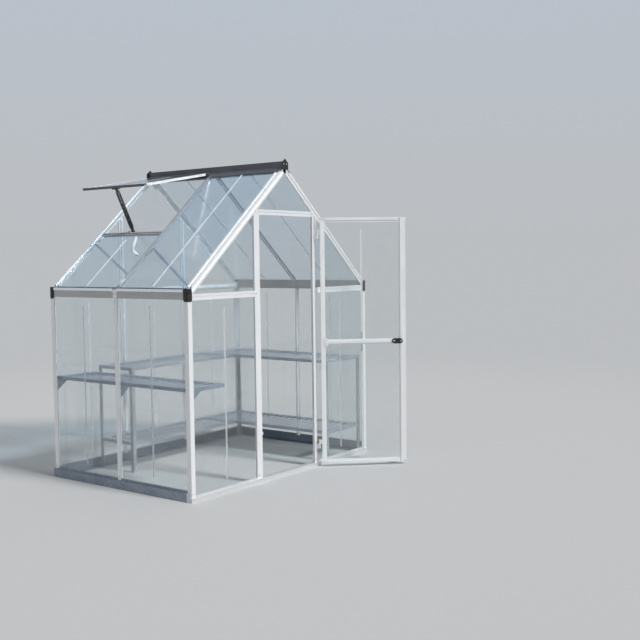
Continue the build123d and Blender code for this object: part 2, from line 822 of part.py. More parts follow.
def hinge_web():
    """Upright web over the upper hinge's arm, with two slots."""
    low = upper_hinge_height
    high = low + hinge_web_rise
    half_arm = hinge_arm / 2
    web = box(hinge_x - half_arm, hinge_x + half_arm, -half_depth - hinge_web_reach, -half_depth, low, high)
    front = hinge_slot_margin - half_depth - hinge_web_reach
    back = -half_depth - hinge_slot_margin
    for step, length in ((1, hinge_web_slot), (2, hinge_web_slot / 2)):
        centre = low + step * hinge_web_rise / 3 + hinge_slot_margin
        z0 = centre - length / 2
        z1 = centre + length / 2
        web -= box(hinge_x - hinge_arm, hinge_x + hinge_arm, front, back, z0, z1)
    return web


def latch_strip():
    """Folded strip in the spare groove of the left jamb, which the shut leaf closes over."""
    edge = jamb_face / 2 - jamb_centre
    reach = edge + latch_strip_width
    high = header_centre - header_face / 2 - seat_gap
    y0 = flange - half_depth
    face = box(edge - 2 * flange, reach, y0, y0 + flange, threshold_height, high)
    return face + box(reach - flange, reach, y0, member_bottom - half_depth, threshold_height, high)


def door_stop():
    """Small block on the latch strip that the shut leaf rests near."""
    edge = jamb_face / 2 - jamb_centre + latch_strip_width
    y1 = member_bottom + stop_size - half_depth
    low = stop_height - stop_size / 2
    return box(edge - flange, edge + stop_reach, flange - half_depth, y1, low, low + stop_size)


def door_hinge(z):
    """Moving half: a plate on the leaf's edge, an arm and a knuckle round the pin."""
    low = z + seat_gap
    high = low + knuckle_height
    plate = box(leaf_hinge_edge, leaf_hinge_edge + hinge_plate, leaf_outer, leaf_inner, low, high)
    arm = box(leaf_hinge_edge, hinge_x, hinge_y - hinge_arm / 2, hinge_y + hinge_arm / 2, low, high)
    knuckle = Pos(hinge_x, hinge_y, (low + high) / 2) * Cylinder(knuckle_radius, knuckle_height)
    bore = Pos(hinge_x, hinge_y, (low + high) / 2) * Cylinder(pin_radius + seat_gap, 2 * knuckle_height)
    return swung(plate + arm + knuckle - bore)


# Staging: the right and rear tiers stand on legs, and the left shelf hangs on the frame
shelf_wall_gap = base_flange - base_overhang + leg_sheet + 2 * seat_gap
shelf_x1 = half_width - shelf_wall_gap
shelf_y1 = half_depth - shelf_wall_gap


def tray(x0, x1, y0, y1, top):
    """Pressed steel shelf with a turned-down rim and a row of slots."""
    low = top - shelf_thickness
    shelf = box(x0, x1, y0, y1, low, top)
    wall = shelf_sheet
    shelf -= box(x0 + wall, x1 - wall, y0 + wall, y1 - wall, low, top - wall)
    return shelf - slots(x0, x1, y0, y1, top)


def slots(x0, x1, y0, y1, top):
    """Row of slots across the short side of a deck."""
    long_x = x1 - x0 > y1 - y0
    length = max(x1 - x0, y1 - y0) - 2 * shelf_slot_margin
    width = min(x1 - x0, y1 - y0) - 2 * shelf_slot_margin
    count = int(length // shelf_slot_pitch)
    centre = Pos((x0 + x1) / 2, (y0 + y1) / 2, top - shelf_sheet)
    cuts = []
    for step in range(count):
        shift = (step - (count - 1) / 2) * shelf_slot_pitch
        if long_x:
            cuts.append(centre * Pos(shift, 0) * Box(shelf_slot_width, width, 3 * shelf_sheet))
        else:
            cuts.append(centre * Pos(0, shift) * Box(width, shelf_slot_width, 3 * shelf_sheet))
    return cuts


def leg(x, y, dx, dy, top):
    """Angle-bar leg that hugs the outer corner of a shelf."""
    x_out = x + dx * (seat_gap + leg_sheet)
    y_out = y + dy * (seat_gap + leg_sheet)
    angle = block(*sorted((x_out, x - dx * leg_face)), *sorted((y + dy * seat_gap, y_out)))
    angle += block(*sorted((x + dx * seat_gap, x_out)), *sorted((y_out, y - dy * leg_face)))
    return extrude(angle, amount=top)


def hung_shelf():
    """Left shelf, with an end bracket against each corner post and one against the stud."""
    low = shelf_left_height - shelf_thickness
    reach = hung_x0 + bracket_reach
    shelf = tray(hung_x0, left_x1, -hung_y1, hung_y1, shelf_left_height)
    shelf += prism_y([(hung_x0, low), (reach, low), (hung_x0, low - bracket_drop)], -leg_sheet, leg_sheet)
    outer = member_bottom + seat_gap - half_width
    profile = [(outer, shelf_left_height), (reach, shelf_left_height)]
    profile += [(reach, low), (outer, low - bracket_drop)]
    end_bracket = prism_y(profile, hung_y1, half_depth - post_core - seat_gap)
    return shelf + end_bracket + behind(end_bracket)


right_x0 = shelf_x1 - shelf_right_depth
rear_y0 = shelf_y1 - shelf_rear_depth
left_x1 = shelf_left_depth - shelf_x1
hung_x0 = section_depth + seat_gap - half_width
hung_y1 = half_depth - section_depth - seat_gap
staging = [(right_x0, shelf_x1, -shelf_y1, shelf_y1)]
staging += [(left_x1 + shelf_wall_gap, right_x0 - seat_gap, rear_y0, shelf_y1)]


def staging_legs():
    """Legs at the outer corners of the two tiers."""
    corners = [(shelf_x1, -shelf_y1, 1, -1), (right_x0, -shelf_y1, -1, -1), (shelf_x1, shelf_y1, 1, 1)]
    corners += [(left_x1 + shelf_wall_gap, shelf_y1, -1, 1), (left_x1 + shelf_wall_gap, rear_y0, -1, -1)]
    return [leg(*corner, shelf_upper_height) for corner in corners]


# Bays, in places that the uprights set
bay_front = (post_core + pane_slack - half_depth, -core_width / 2 - pane_slack)
bay_rear = (-bay_front[1], -bay_front[0])
roof_bay_front = (gable_rafter_seat + pane_slack - half_depth, bay_front[1])
roof_bay_rear = (-roof_bay_front[1], -roof_bay_front[0])
jamb_outer = jamb_centre + core_width / 2 + pane_slack
jamb_inner = jamb_centre - core_width / 2 - pane_slack
end_bay = half_width - post_core - pane_slack
bar_reach = gable_bar_centre - core_width / 2 - pane_slack
bar_top = gable_bar_centre + core_width / 2 + pane_slack
pane_high = ridge_core_width / 2 / roof_cos
pane_low = slope_length - (eave_inner_wall - pane_overhang) / roof_cos
sill_reach = sill_run + core_width / 2 + pane_slack
stud_half = jamb_face / 2

post_front = corner_post(threshold_height)
post_rear = behind(corner_post(base_height))
front_low = threshold_height + seat_gap
rear_low = base_height + seat_gap

rear_sheets = [behind(front_sheet(-jamb_inner, jamb_inner, rear_low, bar_reach))]
rear_sheets += [behind(gable_sheet(-jamb_inner, jamb_inner, bar_top))]
side_rear = behind(front_sheet(jamb_outer, end_bay, rear_low, bar_reach))
side_gable = gable_sheet(jamb_outer, end_bay, bar_top)
rear_sheets += pair(side_rear) + pair(behind(side_gable))
over_door = gable_sheet(-jamb_inner, jamb_inner, header_centre + core_width / 2 + pane_slack)

bar_side = gable_bar(jamb_centre + stud_half, half_width - post_face, gable_bar_centre, gable_bar_face)
bar_middle = gable_bar(-jamb_centre + stud_half, jamb_centre - stud_half, gable_bar_centre, gable_bar_face)
header = gable_bar(-jamb_centre + stud_half, jamb_centre - stud_half, header_centre, header_face)

front_gap = (-jamb_centre - stud_half - seat_gap, jamb_centre + stud_half + seat_gap)
stud_gap = stud_half + seat_gap
rear_gaps = [(centre - stud_gap, centre + stud_gap) for centre in (-jamb_centre, jamb_centre)]

bay_gap = core_width / 2 + seat_gap
bay_end = half_depth - post_core - seat_gap
front_brace = brace(sill_run + brace_front_head, -bay_gap, slope_length - brace_front_foot, -bay_end)
rear_brace = brace(sill_run + brace_rear_head, bay_end, slope_length - brace_rear_foot, bay_gap)

right_jamb = gable_upright(jamb_centre, threshold_height)
eave_caps = pair(eave_cap())
ridge_caps = ridge_plate()

nodes = {
    "base_front": [base_end(threshold_section(), threshold_height, post_face, [front_gap])],
    "base_rear": [behind(base_end(base_section(), base_height, base_flange - base_overhang, rear_gaps))],
    "base_left": [left_of(base_side())],
    "base_right": [base_side()],
    "corner_posts_front": pair(post_front),
    "corner_posts_rear": pair(post_rear),
    "wall_studs": pair(wall_stud()),
    "eave_beam_left": [left_of(eave_beam())],
    "eave_beam_right": [eave_beam()],
    "ridge_beam": [ridge_beam() + ridge_bead()],
    "rafters_front": pair(gable_rafter()),
    "rafters_middle": pair(middle_rafter()),
    "rafters_rear": pair(behind(gable_rafter())),
    "door_jambs": [right_jamb, left_of(right_jamb) + latch_strip() + door_stop()],
    "door_header": [header],
    "gable_bars_front": pair(bar_side),
    "gable_bars_rear": [behind(bar) for bar in pair(bar_side) + [bar_middle]],
    "rear_studs": [],
    "wall_panes_left": [left_of(side_sheet(*bay)) for bay in (bay_front, bay_rear)],
    "wall_panes_right": [side_sheet(*bay) for bay in (bay_front, bay_rear)],
    "wall_panes_front": pair(front_sheet(jamb_outer, end_bay, front_low, bar_reach)),
    "gable_panes_front": pair(side_gable) + [over_door],
    "rear_panes": rear_sheets,
    "roof_panes_left": [
        left_of(roof_sheet(pane_high, pane_low, *roof_bay_front)),
        left_of(roof_sheet(sill_reach, pane_low, *roof_bay_rear)),
    ],
    "roof_panes_right": [roof_sheet(pane_high, pane_low, *bay) for bay in (roof_bay_front, roof_bay_rear)],
    "vent_rails": vent_rails(),
    "vent_stiles": vent_stiles(),
    "vent_pane": [vent_sheet()],
    "vent_sill": [vent_sill()],
    "vent_stay": [vent_stay()],
    "roof_braces": [left_of(front_brace), left_of(rear_brace)],
    "eave_caps": eave_caps + [behind(cap) for cap in eave_caps],
    "ridge_end_caps": [ridge_caps, behind(ridge_caps)],
    "door_stiles": door_stiles(),
    "door_rails": door_rails(),
    "door_panes": door_sheets(),
    "door_handle": door_handle(),
    "jamb_hinges": [jamb_hinge(lower_hinge_height), jamb_hinge(upper_hinge_height) + hinge_web()],
    "door_hinges": [door_hinge(z) for z in (lower_hinge_height, upper_hinge_height)],
    "shelf_left": [hung_shelf()],
    "shelf_upper": [tray(*span, shelf_upper_height) for span in staging],
    "shelf_lower": [tray(*span, shelf_lower_height) for span in staging],
    "shelf_legs": staging_legs(),
}

rear_stud = behind(gable_upright(jamb_centre, base_height))
nodes["rear_studs"] = pair(rear_stud)

for name, pieces in nodes.items():
    solids = [solid for piece in pieces for solid in piece.solids()]
    export_step(Compound(label=name, children=solids), "parts/" + name + ".step")

print("roof angle", round(degrees(roof_angle), 3), "slope length", round(slope_length, 1))
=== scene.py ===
"""Looks of a polycarbonate greenhouse: finishes, fastenings, fittings, stage, lamp and camera."""

import json
import logging
from dataclasses import dataclass
from enum import Enum
from math import atan2, cos, hypot, pi, radians, sin
from typing import Any, Sequence

import bpy
import numpy as np
from mathutils import Matrix, Vector


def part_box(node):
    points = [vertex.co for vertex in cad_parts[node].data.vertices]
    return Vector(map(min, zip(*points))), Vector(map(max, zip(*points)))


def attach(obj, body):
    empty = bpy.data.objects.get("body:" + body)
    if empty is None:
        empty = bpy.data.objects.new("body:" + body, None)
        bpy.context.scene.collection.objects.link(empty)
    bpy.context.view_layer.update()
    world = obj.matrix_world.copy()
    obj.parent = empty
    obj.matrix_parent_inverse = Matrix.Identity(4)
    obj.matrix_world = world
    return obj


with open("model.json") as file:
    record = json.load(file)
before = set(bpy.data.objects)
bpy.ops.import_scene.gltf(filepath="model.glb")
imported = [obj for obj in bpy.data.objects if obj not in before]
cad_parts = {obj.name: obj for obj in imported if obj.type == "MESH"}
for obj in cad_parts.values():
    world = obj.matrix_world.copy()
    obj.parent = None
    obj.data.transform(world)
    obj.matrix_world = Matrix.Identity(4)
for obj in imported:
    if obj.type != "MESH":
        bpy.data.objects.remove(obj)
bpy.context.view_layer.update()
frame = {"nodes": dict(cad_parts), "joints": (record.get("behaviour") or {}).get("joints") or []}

Pair = tuple[float, float]
Colour = tuple[float, float, float]
Direction = tuple[float, float, float]
Array = np.ndarray
Spots = tuple[Array, Direction]
Socket = bpy.types.NodeSocket
Inputs = dict[str | int, Any]
log = logging.getLogger("greenhouse")

# Signs of the two sides of a middle plane, the upward direction, and the bevel of a small plate
SIDES: tuple[int, int] = (-1, 1)
UP: Direction = (0, 0, 1)
SOFT_EDGE: float = 0.0003


def middle(name: str, axis: int) -> float:
    """Middle of a CAD node's box along one axis: 0 for x, 1 for y, 2 for z."""
    low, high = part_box(name)
    return (low[axis] + high[axis]) / 2


# Measures of the whole house, in metres, from the frame and from the roof's two heights
@dataclass(frozen=True)
class House:
    """Main planes of the house, which the fittings are placed from.

    Args:
        ridge_height: Height where the outer planes of the two slopes meet.
        eave_height: Height where a slope's outer plane meets the outer plane of the side wall.
        jamb_centre: Distance from the middle plane to the middle of a door jamb.
        base_height: Height of the folded base rail.
        threshold_height: Height of the low front rail.
    """

    ridge_height: float = 2.062
    eave_height: float = 1.262
    jamb_centre: float = 0.305
    base_height: float = 0.057
    threshold_height: float = 0.028

    @property
    def half_width(self) -> float:
        """Distance from the middle plane to the outer plane of a side wall."""
        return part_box("corner_posts_front")[1].x

    @property
    def half_depth(self) -> float:
        """Distance from the middle to the outer plane of a gable wall."""
        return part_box("corner_posts_rear")[1].y

    @property
    def pitch(self) -> float:
        """Angle of the roof."""
        return atan2(self.ridge_height - self.eave_height, self.half_width)

    @property
    def slope_length(self) -> float:
        """Length of a slope's outer plane from the apex to the eave."""
        return hypot(self.half_width, self.ridge_height - self.eave_height)

    def on_slope(self, runs: Array, depth: float, y: Array, side: float) -> Array:
        """Points on one slope.

        Args:
            runs: Distances down the slope from the apex.
            depth: Distance under the outer plane, negative above it.
            y: Places along the house, one for each run.
            side: 1 for the right slope, -1 for the left slope.

        Returns:
            One row of x, y, z for each point.
        """
        runs = np.asarray(runs, float)
        x = side * (runs * cos(self.pitch) - depth * sin(self.pitch))
        z = self.ridge_height - runs * sin(self.pitch) - depth * cos(self.pitch)
        return np.column_stack([x, np.broadcast_to(y, runs.shape), z])

    def slope_normal(self, side: float) -> Direction:
        """Outward direction of one slope."""
        return (side * sin(self.pitch), 0.0, cos(self.pitch))


HOUSE = House()


@dataclass(frozen=True)
class LeafPlace:
    """Place of the open door leaf, which turns its shut position about the hinge line.

    Args:
        edge_gap: Distance from the hinge line to the edge of the leaf.
        inner_offset: Distance from the hinge line to the inner face of the leaf.
        width: Width of the leaf.
        thickness: Thickness of the leaf.
    """

    edge_gap: float = 0.017
    inner_offset: float = 0.012
    width: float = 0.592
    thickness: float = 0.020

    @property
    def pivot(self) -> Pair:
        """Place of the hinge line on the ground."""
        x, y, _ = frame["joints"][0]["pos_m"]
        return x, y

    @property
    def open_angle(self) -> float:
        """Angle between the shut leaf and the leaf at rest."""
        return radians(-frame["joints"][0]["range_deg"][0])

    def points(self, along: Array, out: float, z: Array) -> Array:
        """Points on the open leaf.

        Args:
            along: Distances from the hinge edge towards the free edge.
            out: Distance from the inner face towards the outer face, negative on the room's side.
            z: Heights, one for each point.

        Returns:
            One row of x, y, z for each point.
        """
        along = np.asarray(along, float)
        sideways = np.full(along.shape, self.inner_offset - out)
        shut = np.column_stack([-self.edge_gap - along, sideways, np.broadcast_to(z, along.shape)])
        return shut @ spun(self.open_angle).T + [*self.pivot, 0.0]

    def direction(self, shut: Sequence[float]) -> Direction:
        """Direction on the open leaf of a direction on the shut one."""
        return tuple(spun(self.open_angle) @ np.asarray(shut, float))


def spun(angle: float) -> Array:
    """Matrix of a turn about the upright axis."""
    return np.array([[cos(angle), -sin(angle), 0.0], [sin(angle), cos(angle), 0.0], [0.0, 0.0, 1.0]])


LEAF = LeafPlace()


# Surfaces worked out on grids of points
def unit(rows: Array) -> Array:
    """The rows, each scaled to length 1."""
    rows = np.asarray(rows, float)
    return rows / np.linalg.norm(rows, axis=-1, keepdims=True)


@dataclass(frozen=True)
class Form:
    """Closed surface made of a grid of quads and of flat lids.

    Args:
        points: One row of x, y, z for each point.
        quads: One row of four point numbers for each quad.
        lids: One row of point numbers for each flat lid.
    """

    points: Array
    quads: Array
    lids: Array


def joined(forms: Sequence[Form]) -> Form:
    """One form that holds several forms whose lids have the same number of points.

    Each form's point numbers go up by the number of points in the forms before it.

    Args:
        forms: The forms to join.

    Returns:
        The joined form.
    """
    shifts = np.cumsum([0] + [len(form.points) for form in forms[:-1]])
    quads = np.vstack([form.quads + shift for form, shift in zip(forms, shifts)])
    lids = np.vstack([form.lids + shift for form, shift in zip(forms, shifts)])
    return Form(np.vstack([form.points for form in forms]), quads, lids)


def tube(rings: Array, outward: bool) -> Form:
    """Closed surface through rings of points, with a flat lid on the first ring and on the last.

    Each quad joins a step of one ring and the step after it to the same two of the next ring.

    Args:
        rings: The points, as ring by step by coordinate.
        outward: True where the rings follow the axis that they turn round counter-clockwise.

    Returns:
        The surface.
    """
    count, steps = rings.shape[:2]
    ring = np.arange(count - 1)[:, None] * steps
    step = np.arange(steps)
    after = (step + 1) % steps
    corners = [ring + step, ring + after, ring + steps + after, ring + steps + step]
    lids = np.stack([step[::-1], (count - 1) * steps + step])
    if not outward:
        corners = corners[::-1]
        lids = lids[:, ::-1]
    return Form(rings.reshape(-1, 3), np.stack(corners, axis=-1).reshape(-1, 4), lids)


def turned_form(radii: Array, heights: Array) -> Form:
    """Closed surface of rings round an upright axis, from the top ring down.

    The point at ring i and step j lies at radius radii[i, j] and height heights[i, j], at j equal
    steps of a full turn. One of the two grids may have a single column.

    Args:
        radii: Distances from the axis, one row for each ring.
        heights: Heights over the seat, one row for each ring.

    Returns:
        The surface, closed by a flat lid at both ends.
    """
    radii, heights = np.broadcast_arrays(radii, heights)
    angle = np.arange(radii.shape[1]) * (2 * pi / radii.shape[1])
    return tube(np.stack([radii * np.cos(angle), radii * np.sin(angle), heights], axis=-1), False)


def rounded_plate(width: float, height: float, squareness: float = 6.0, steps: int = 24) -> Array:
    """Outline of a plate with soft corners, counter-clockwise.

    Each coordinate is half the side times the cosine or sine, raised to two over the squareness
    with its sign kept, so that a higher squareness fills the corners.

    Args:
        width: Full size along the first axis.
        height: Full size along the second axis.
        squareness: 2 gives an ellipse, and higher values a squarer plate.
        steps: Number of points.

    Returns:
        One row of two coordinates for each point.
    """
    angle = (np.arange(steps) + 0.5) * (2 * pi / steps)
    wave = np.column_stack([np.cos(angle), np.sin(angle)])
    return np.sign(wave) * np.abs(wave) ** (2 / squareness) * [width / 2, height / 2]


def folded_strip(line: Array, wall: float) -> Array:
    """Outline of a bent sheet in section, counter-clockwise, with mitred corners.

    A corner's shift is the sum of the two runs' sideways directions, over one plus their dot product.

    Args:
        line: One row of two coordinates for each point of the sheet's middle line.
        wall: Thickness of the sheet.

    Returns:
        One row of two coordinates for each point.
    """
    line = np.asarray(line, float)
    runs = unit(np.diff(line, axis=0))
    sides = np.column_stack([-runs[:, 1], runs[:, 0]])
    before = np.vstack([sides[:1], sides])
    after = np.vstack([sides, sides[-1:]])
    shifts = (before + after) / (1 + np.sum(before * after, axis=1))[:, None] * (wall / 2)
    return np.vstack([line - shifts, (line + shifts)[::-1]])


def bar_form(profile: Array, start: Sequence[float], end: Sequence[float], across: Sequence[float]) -> Form:
    """Straight bar of constant section.

    A point of the profile goes its first coordinate along the across direction, and its second along
    the direction square to the bar and to it.

    Args:
        profile: Closed outline, counter-clockwise, one row of two coordinates for each point.
        start: Middle of the first end.
        end: Middle of the last end.
        across: Direction of the profile's first axis, square to the bar.

    Returns:
        The bar, closed at both ends.
    """
    start, end, across = (np.asarray(value, float) for value in (start, end, across))
    up = np.cross(unit(end - start), across)
    ring = profile[:, :1] * across + profile[:, 1:] * up
    return tube(np.stack([start + ring, end + ring]), True)


def bent_path(corners: Array, radius: float, steps: int = 7) -> Array:
    """Path through corner points, whose inner corners are rounded.

    A rounded corner is the parabola that leaves one straight run and meets the next one at the
    radius times the tangent of half the turn from the corner.

    Args:
        corners: One row of coordinates for each corner.
        radius: Radius of the bends.
        steps: Number of points in a bend.

    Returns:
        One row of coordinates for each point of the path.
    """
    runs = unit(np.diff(corners, axis=0))
    bends = np.arccos(np.sum(runs[:-1] * runs[1:], axis=1))
    reach = (radius * np.tan(bends / 2))[:, None]
    inner = corners[1:-1]
    share = np.linspace(0.0, 1.0, steps)[None, :, None]
    before = (inner - runs[:-1] * reach)[:, None]
    after = (inner + runs[1:] * reach)[:, None]
    curves = (1 - share) ** 2 * before + 2 * share * (1 - share) * inner[:, None] + share**2 * after
    return np.vstack([corners[:1], curves.reshape(-1, corners.shape[1]), corners[-1:]])


def swept_form(path: Array, profile: Array, side: Sequence[float], ends: float = 0.6) -> Form:
    """Bar of constant section along a flat path, slightly narrower at its two ends.

    At each point the profile's second axis is the side direction, and its first axis is square to
    the side direction and to the path.

    Args:
        path: One row of x, y, z for each point, all in a plane square to the side direction.
        profile: Closed outline, counter-clockwise, one row of two coordinates for each point.
        side: Direction square to the path's plane.
        ends: Size of the section at the ends, as a share of the rest.

    Returns:
        The bar, closed at both ends.
    """
    side = np.asarray(side, float)
    across = np.cross(side, unit(np.gradient(path, axis=0)))
    size = np.ones((len(path), 1, 1))
    size[[0, -1]] = ends
    shifts = profile[None, :, :1] * across[:, None] + profile[None, :, 1:] * side
    return tube(path[:, None] + size * shifts, True)


def oval_boss(width: float, height: float, rise: float, squareness: float, rim: bool) -> Form:
    """Low oval boss, with a sunk middle inside its rim where that is asked for.

    The outline's radius is one over the sum of the cosine over half the width and the sine over half
    the height, each raised to the squareness, with the root of the same order taken of the sum.

    Args:
        width: Full size along the first axis.
        height: Full size along the second axis.
        rise: Height of the rim.
        squareness: 2 gives an ellipse, and higher values a squarer outline.
        rim: True for a sunk middle, False for a domed one.

    Returns:
        The closed boss.
    """
    steps = 24
    angle = np.arange(steps) * (2 * pi / steps)
    wide = np.abs(np.cos(angle) / (width / 2)) ** squareness
    tall = np.abs(np.sin(angle) / (height / 2)) ** squareness
    reach = np.array([0.62, 0.68, 0.76, 0.90, 1.0, 1.0])
    rimmed = np.array([0.25, 0.25, 1.0, 1.0, 0.6, 0.0])
    domed = np.array([1.0, 0.98, 0.93, 0.75, 0.4, 0.0])
    levels = rise * (rimmed if rim else domed)
    return turned_form(reach[:, None] * (wide + tall) ** (-1 / squareness), levels[:, None])


def facing(normals: Array) -> Array:
    """Turns that carry a form's upright axis onto the given directions.

    The first column of a turn is square to the direction and to the upright axis, or to the x axis
    where the direction is close to upright. The second column is square to the other two.

    Args:
        normals: One row for each direction.

    Returns:
        One 3 by 3 matrix for each direction, whose last column is the direction.
    """
    steep = 0.9
    upright = np.abs(normals[:, 2:]) > steep
    helper = np.where(upright, np.array([[1.0, 0.0, 0.0]]), np.array([[0.0, 0.0, 1.0]]))
    first = unit(np.cross(helper, normals))
    return np.stack([first, np.cross(normals, first), normals], axis=-1)


def scattered(form: Form, spots: Sequence[Spots]) -> Form:
    """Copies of a form at groups of points, each group with one outward direction.

    The points of a copy are the form's points, turned by its own matrix and moved to its place.

    Args:
        form: The form to copy, with its seat at height 0 and its axis upright.
        spots: Pairs of points and of the direction that the copies there face.

    Returns:
        The joined copies.
    """
    places = np.vstack([points for points, _ in spots])
    normals = np.vstack([np.broadcast_to(np.asarray(way, float), points.shape) for points, way in spots])
    moved = np.einsum("nij,pj->npi", facing(normals), form.points) + places[:, None]
    return joined([Form(points, form.quads, form.lids) for points in moved])


def piece(name: str, form: Form, body: str, finish: "Finish", bevel: float = 0.0) -> None:
    """Object at the origin that holds a form, finished and riding on a body.

    Args:
        name: Name of the piece.
        form: Its surface.
        body: Body that it moves with.
        finish: Finish that it takes.
        bevel: Width of the softened edges, 0 for none.
    """
    mesh = bpy.data.meshes.new(name)
    mesh.from_pydata(form.points.tolist(), [], form.quads.tolist() + form.lids.tolist())
    mesh.update()
    mesh.polygons.foreach_set("use_smooth", np.ones(len(mesh.polygons), bool))
    mesh.set_sharp_from_angle(angle=radians(35))
    mesh.materials.append(finish.material())
    made = placed(name, mesh)
    if bevel > 0:
        soft = made.modifiers.new("soft_edges", "BEVEL")
        soft.width = bevel
        soft.segments = 2
        soft.limit_method = "ANGLE"
    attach(made, body)
    log.info("%s: %d points", name, len(form.points))


def placed(name: str, data: bpy.types.ID) -> bpy.types.Object:
    """New object in the scene that holds a mesh, a lamp or a camera.

    Args:
        name: Name of the object.
        data: What it holds.

    Returns:
        The object.
    """
    made = bpy.data.objects.new(name, data)
    bpy.context.scene.collection.objects.link(made)
    return made


# Fastenings
@dataclass(frozen=True)
class PanHead:
    """Domed screw head with a cross recess.

    Args:
        radius: Radius of the head.
        height: Height of the dome over its seat.
        recess: Depth of the cross.
        steps: Points round a ring, a multiple of four.
    """

    radius: float = 0.0045
    height: float = 0.0026
    recess: float = 0.0014
    steps: int = 12

    def form(self) -> Form:
        """Head as rings from its middle out and down to its seat.

        The height falls with the square of the radius, and drops by the recess on the inner rings
        at every quarter turn.

        Returns:
            The closed head.
        """
        core, fall = 0.5, 0.45
        reach = np.array([0.12, 0.45, 0.6, 0.88, 1.0, 1.0])
        crown = np.array([0.0, 0.0, 0.0, 0.0, 0.0, 1.0])
        quarter = np.arange(self.steps) % (self.steps // 4) == 0
        dome = self.height * (1 - fall * reach**2) * (1 - crown)
        sunk = np.where(reach[:, None] < core, quarter * self.recess, 0.0)
        return turned_form(reach[:, None] * self.radius, dome[:, None] - sunk)


@dataclass(frozen=True)
class HexHead:
    """Six-sided screw head on a washer.

    Args:
        across: Distance from a flat to the middle.
        height: Height of the head over its washer.
        washer: Radius of the washer.
        sheet: Thickness of the washer.
        chamfer: Height of the head's chamfer.
        steps: Points round a ring, a multiple of six.
    """

    across: float = 0.0055
    height: float = 0.0045
    washer: float = 0.0085
    sheet: float = 0.0012
    chamfer: float = 0.0006
    steps: int = 12

    def form(self) -> Form:
        """Head and washer as rings from the top down.

        On the head's rings the radius is the distance across over the cosine of the angle to the
        middle of the nearest flat.

        Returns:
            The closed head.
        """
        angle = np.arange(self.steps) * (2 * pi / self.steps)
        nearest = (angle + pi / 6) % (pi / 3) - pi / 6
        six = self.across / np.cos(nearest)
        circle = np.full(self.steps, self.washer)
        shares = np.array([0.86, 1.0, 1.0, 0.94, 1.0, 1.0])
        radii = np.stack([six] * 3 + [circle] * 3) * shares[:, None]
        top = self.sheet + self.height
        levels = np.array([top, top - self.chamfer, self.sheet, self.sheet, self.sheet * 0.7, 0.0])
        return turned_form(radii, levels[:, None])


Head = PanHead | HexHead


# Finishes
class Slot(Enum):
    """Material slots of the record."""

    ALUMINIUM = "aluminium"
    STEEL = "steel"
    CLEAR = "polycarbonate"
    PLASTIC = "black_plastic"


class Grain(Enum):
    """Direction that the lines of a rolled or pressed bar follow."""

    ACROSS = "along the gable walls"
    DEEP = "along the side walls"
    UPRIGHT = "up the posts"
    SLOPE = "down the roof"
    VENT = "down the raised vent"
    LEAF = "along the open leaf"

    @property
    def turn(self) -> Direction:
        """Turn that carries the first axis onto this direction, on the side where x is positive.

        Returns:
            Angles about x, y and z.
        """
        return {
            Grain.ACROSS: (0.0, 0.0, 0.0),
            Grain.DEEP: (0.0, 0.0, pi / 2),
            Grain.UPRIGHT: (0.0, -pi / 2, 0.0),
            Grain.SLOPE: (0.0, HOUSE.pitch, 0.0),
            Grain.VENT: (0.0, HOUSE.pitch - RoofVent.open_angle, 0.0),
            Grain.LEAF: (0.0, 0.0, LEAF.open_angle),
        }[self]

    @property
    def mirrored(self) -> bool:
        """True where the bars of one node lean both ways."""
        return self in (Grain.SLOPE, Grain.VENT)


class Graph:
    """Node tree of a material or a world, with short ways to add its nodes."""

    def __init__(self, owner: bpy.types.ID) -> None:
        """Start with an empty tree.

        Args:
            owner: Material or world that the tree belongs to.
        """
        owner.use_nodes = True
        self.tree = owner.node_tree
        self.tree.nodes.clear()

    def feed(self, node: bpy.types.Node, inputs: Inputs) -> None:
        """Link or set inputs of a node.

        Args:
            node: The node.
            inputs: Socket or value for each input, by the input's name or number.
        """
        for key, value in inputs.items():
            if isinstance(value, Socket):
                self.tree.links.new(value, node.inputs[key])
            else:
                node.inputs[key].default_value = value

    def node(self, kind: str, inputs: Inputs, **settings: Any) -> bpy.types.Node:
        """Add a node.

        Args:
            kind: Type of the node, without the first words that all types share.
            inputs: Socket or value for each input, by the input's name or number.
            settings: Attributes of the node.

        Returns:
            The new node.
        """
        node = self.tree.nodes.new(f"ShaderNode{kind}")
        for key, value in settings.items():
            setattr(node, key, value)
        self.feed(node, inputs)
        return node

    def field(self, kind: str, inputs: Inputs, out: str | int = 0, **settings: Any) -> Socket:
        """One output, by name or number, of a new node."""
        return self.node(kind, inputs, **settings).outputs[out]

    def worked(self, operation: str, *terms: Socket | float) -> Socket:
        """Result of a calculation on fields and numbers."""
        return self.field("Math", dict(enumerate(terms)), operation=operation)

    def blend(self, factor: Socket, dark: Colour, light: Colour) -> Socket:
        """Mix of two colours.

        Args:
            factor: 0 gives the first colour and 1 the second.
            dark: First colour.
            light: Second colour.

        Returns:
            The mixed colour.
        """
        mix = self.node("Mix", {"Factor": factor}, data_type="RGBA")
        first, second = [entry for entry in mix.inputs if entry.type == "RGBA"]
        first.default_value = (*dark, 1.0)
        second.default_value = (*light, 1.0)
        return [entry for entry in mix.outputs if entry.type == "RGBA"][0]

    def either(self, factor: Socket, first: Socket, second: Socket) -> Socket:
        """Mix of two shaders, the first where the factor is 0 and the second where it is 1."""
        return self.field("MixShader", {0: factor, 1: first, 2: second})

    def ray(self, *kinds: str) -> Socket:
        """Field that is 1 for rays of the given kinds and 0 for all others.

        Args:
            kinds: Kinds of ray, such as Camera or Shadow.

        Returns:
            The field.
        """
        path = self.node("LightPath", {})
        found = path.outputs[f"Is {kinds[0]} Ray"]
        for kind in kinds[1:]:
            found = self.worked("MAXIMUM", found, path.outputs[f"Is {kind} Ray"])
        return found


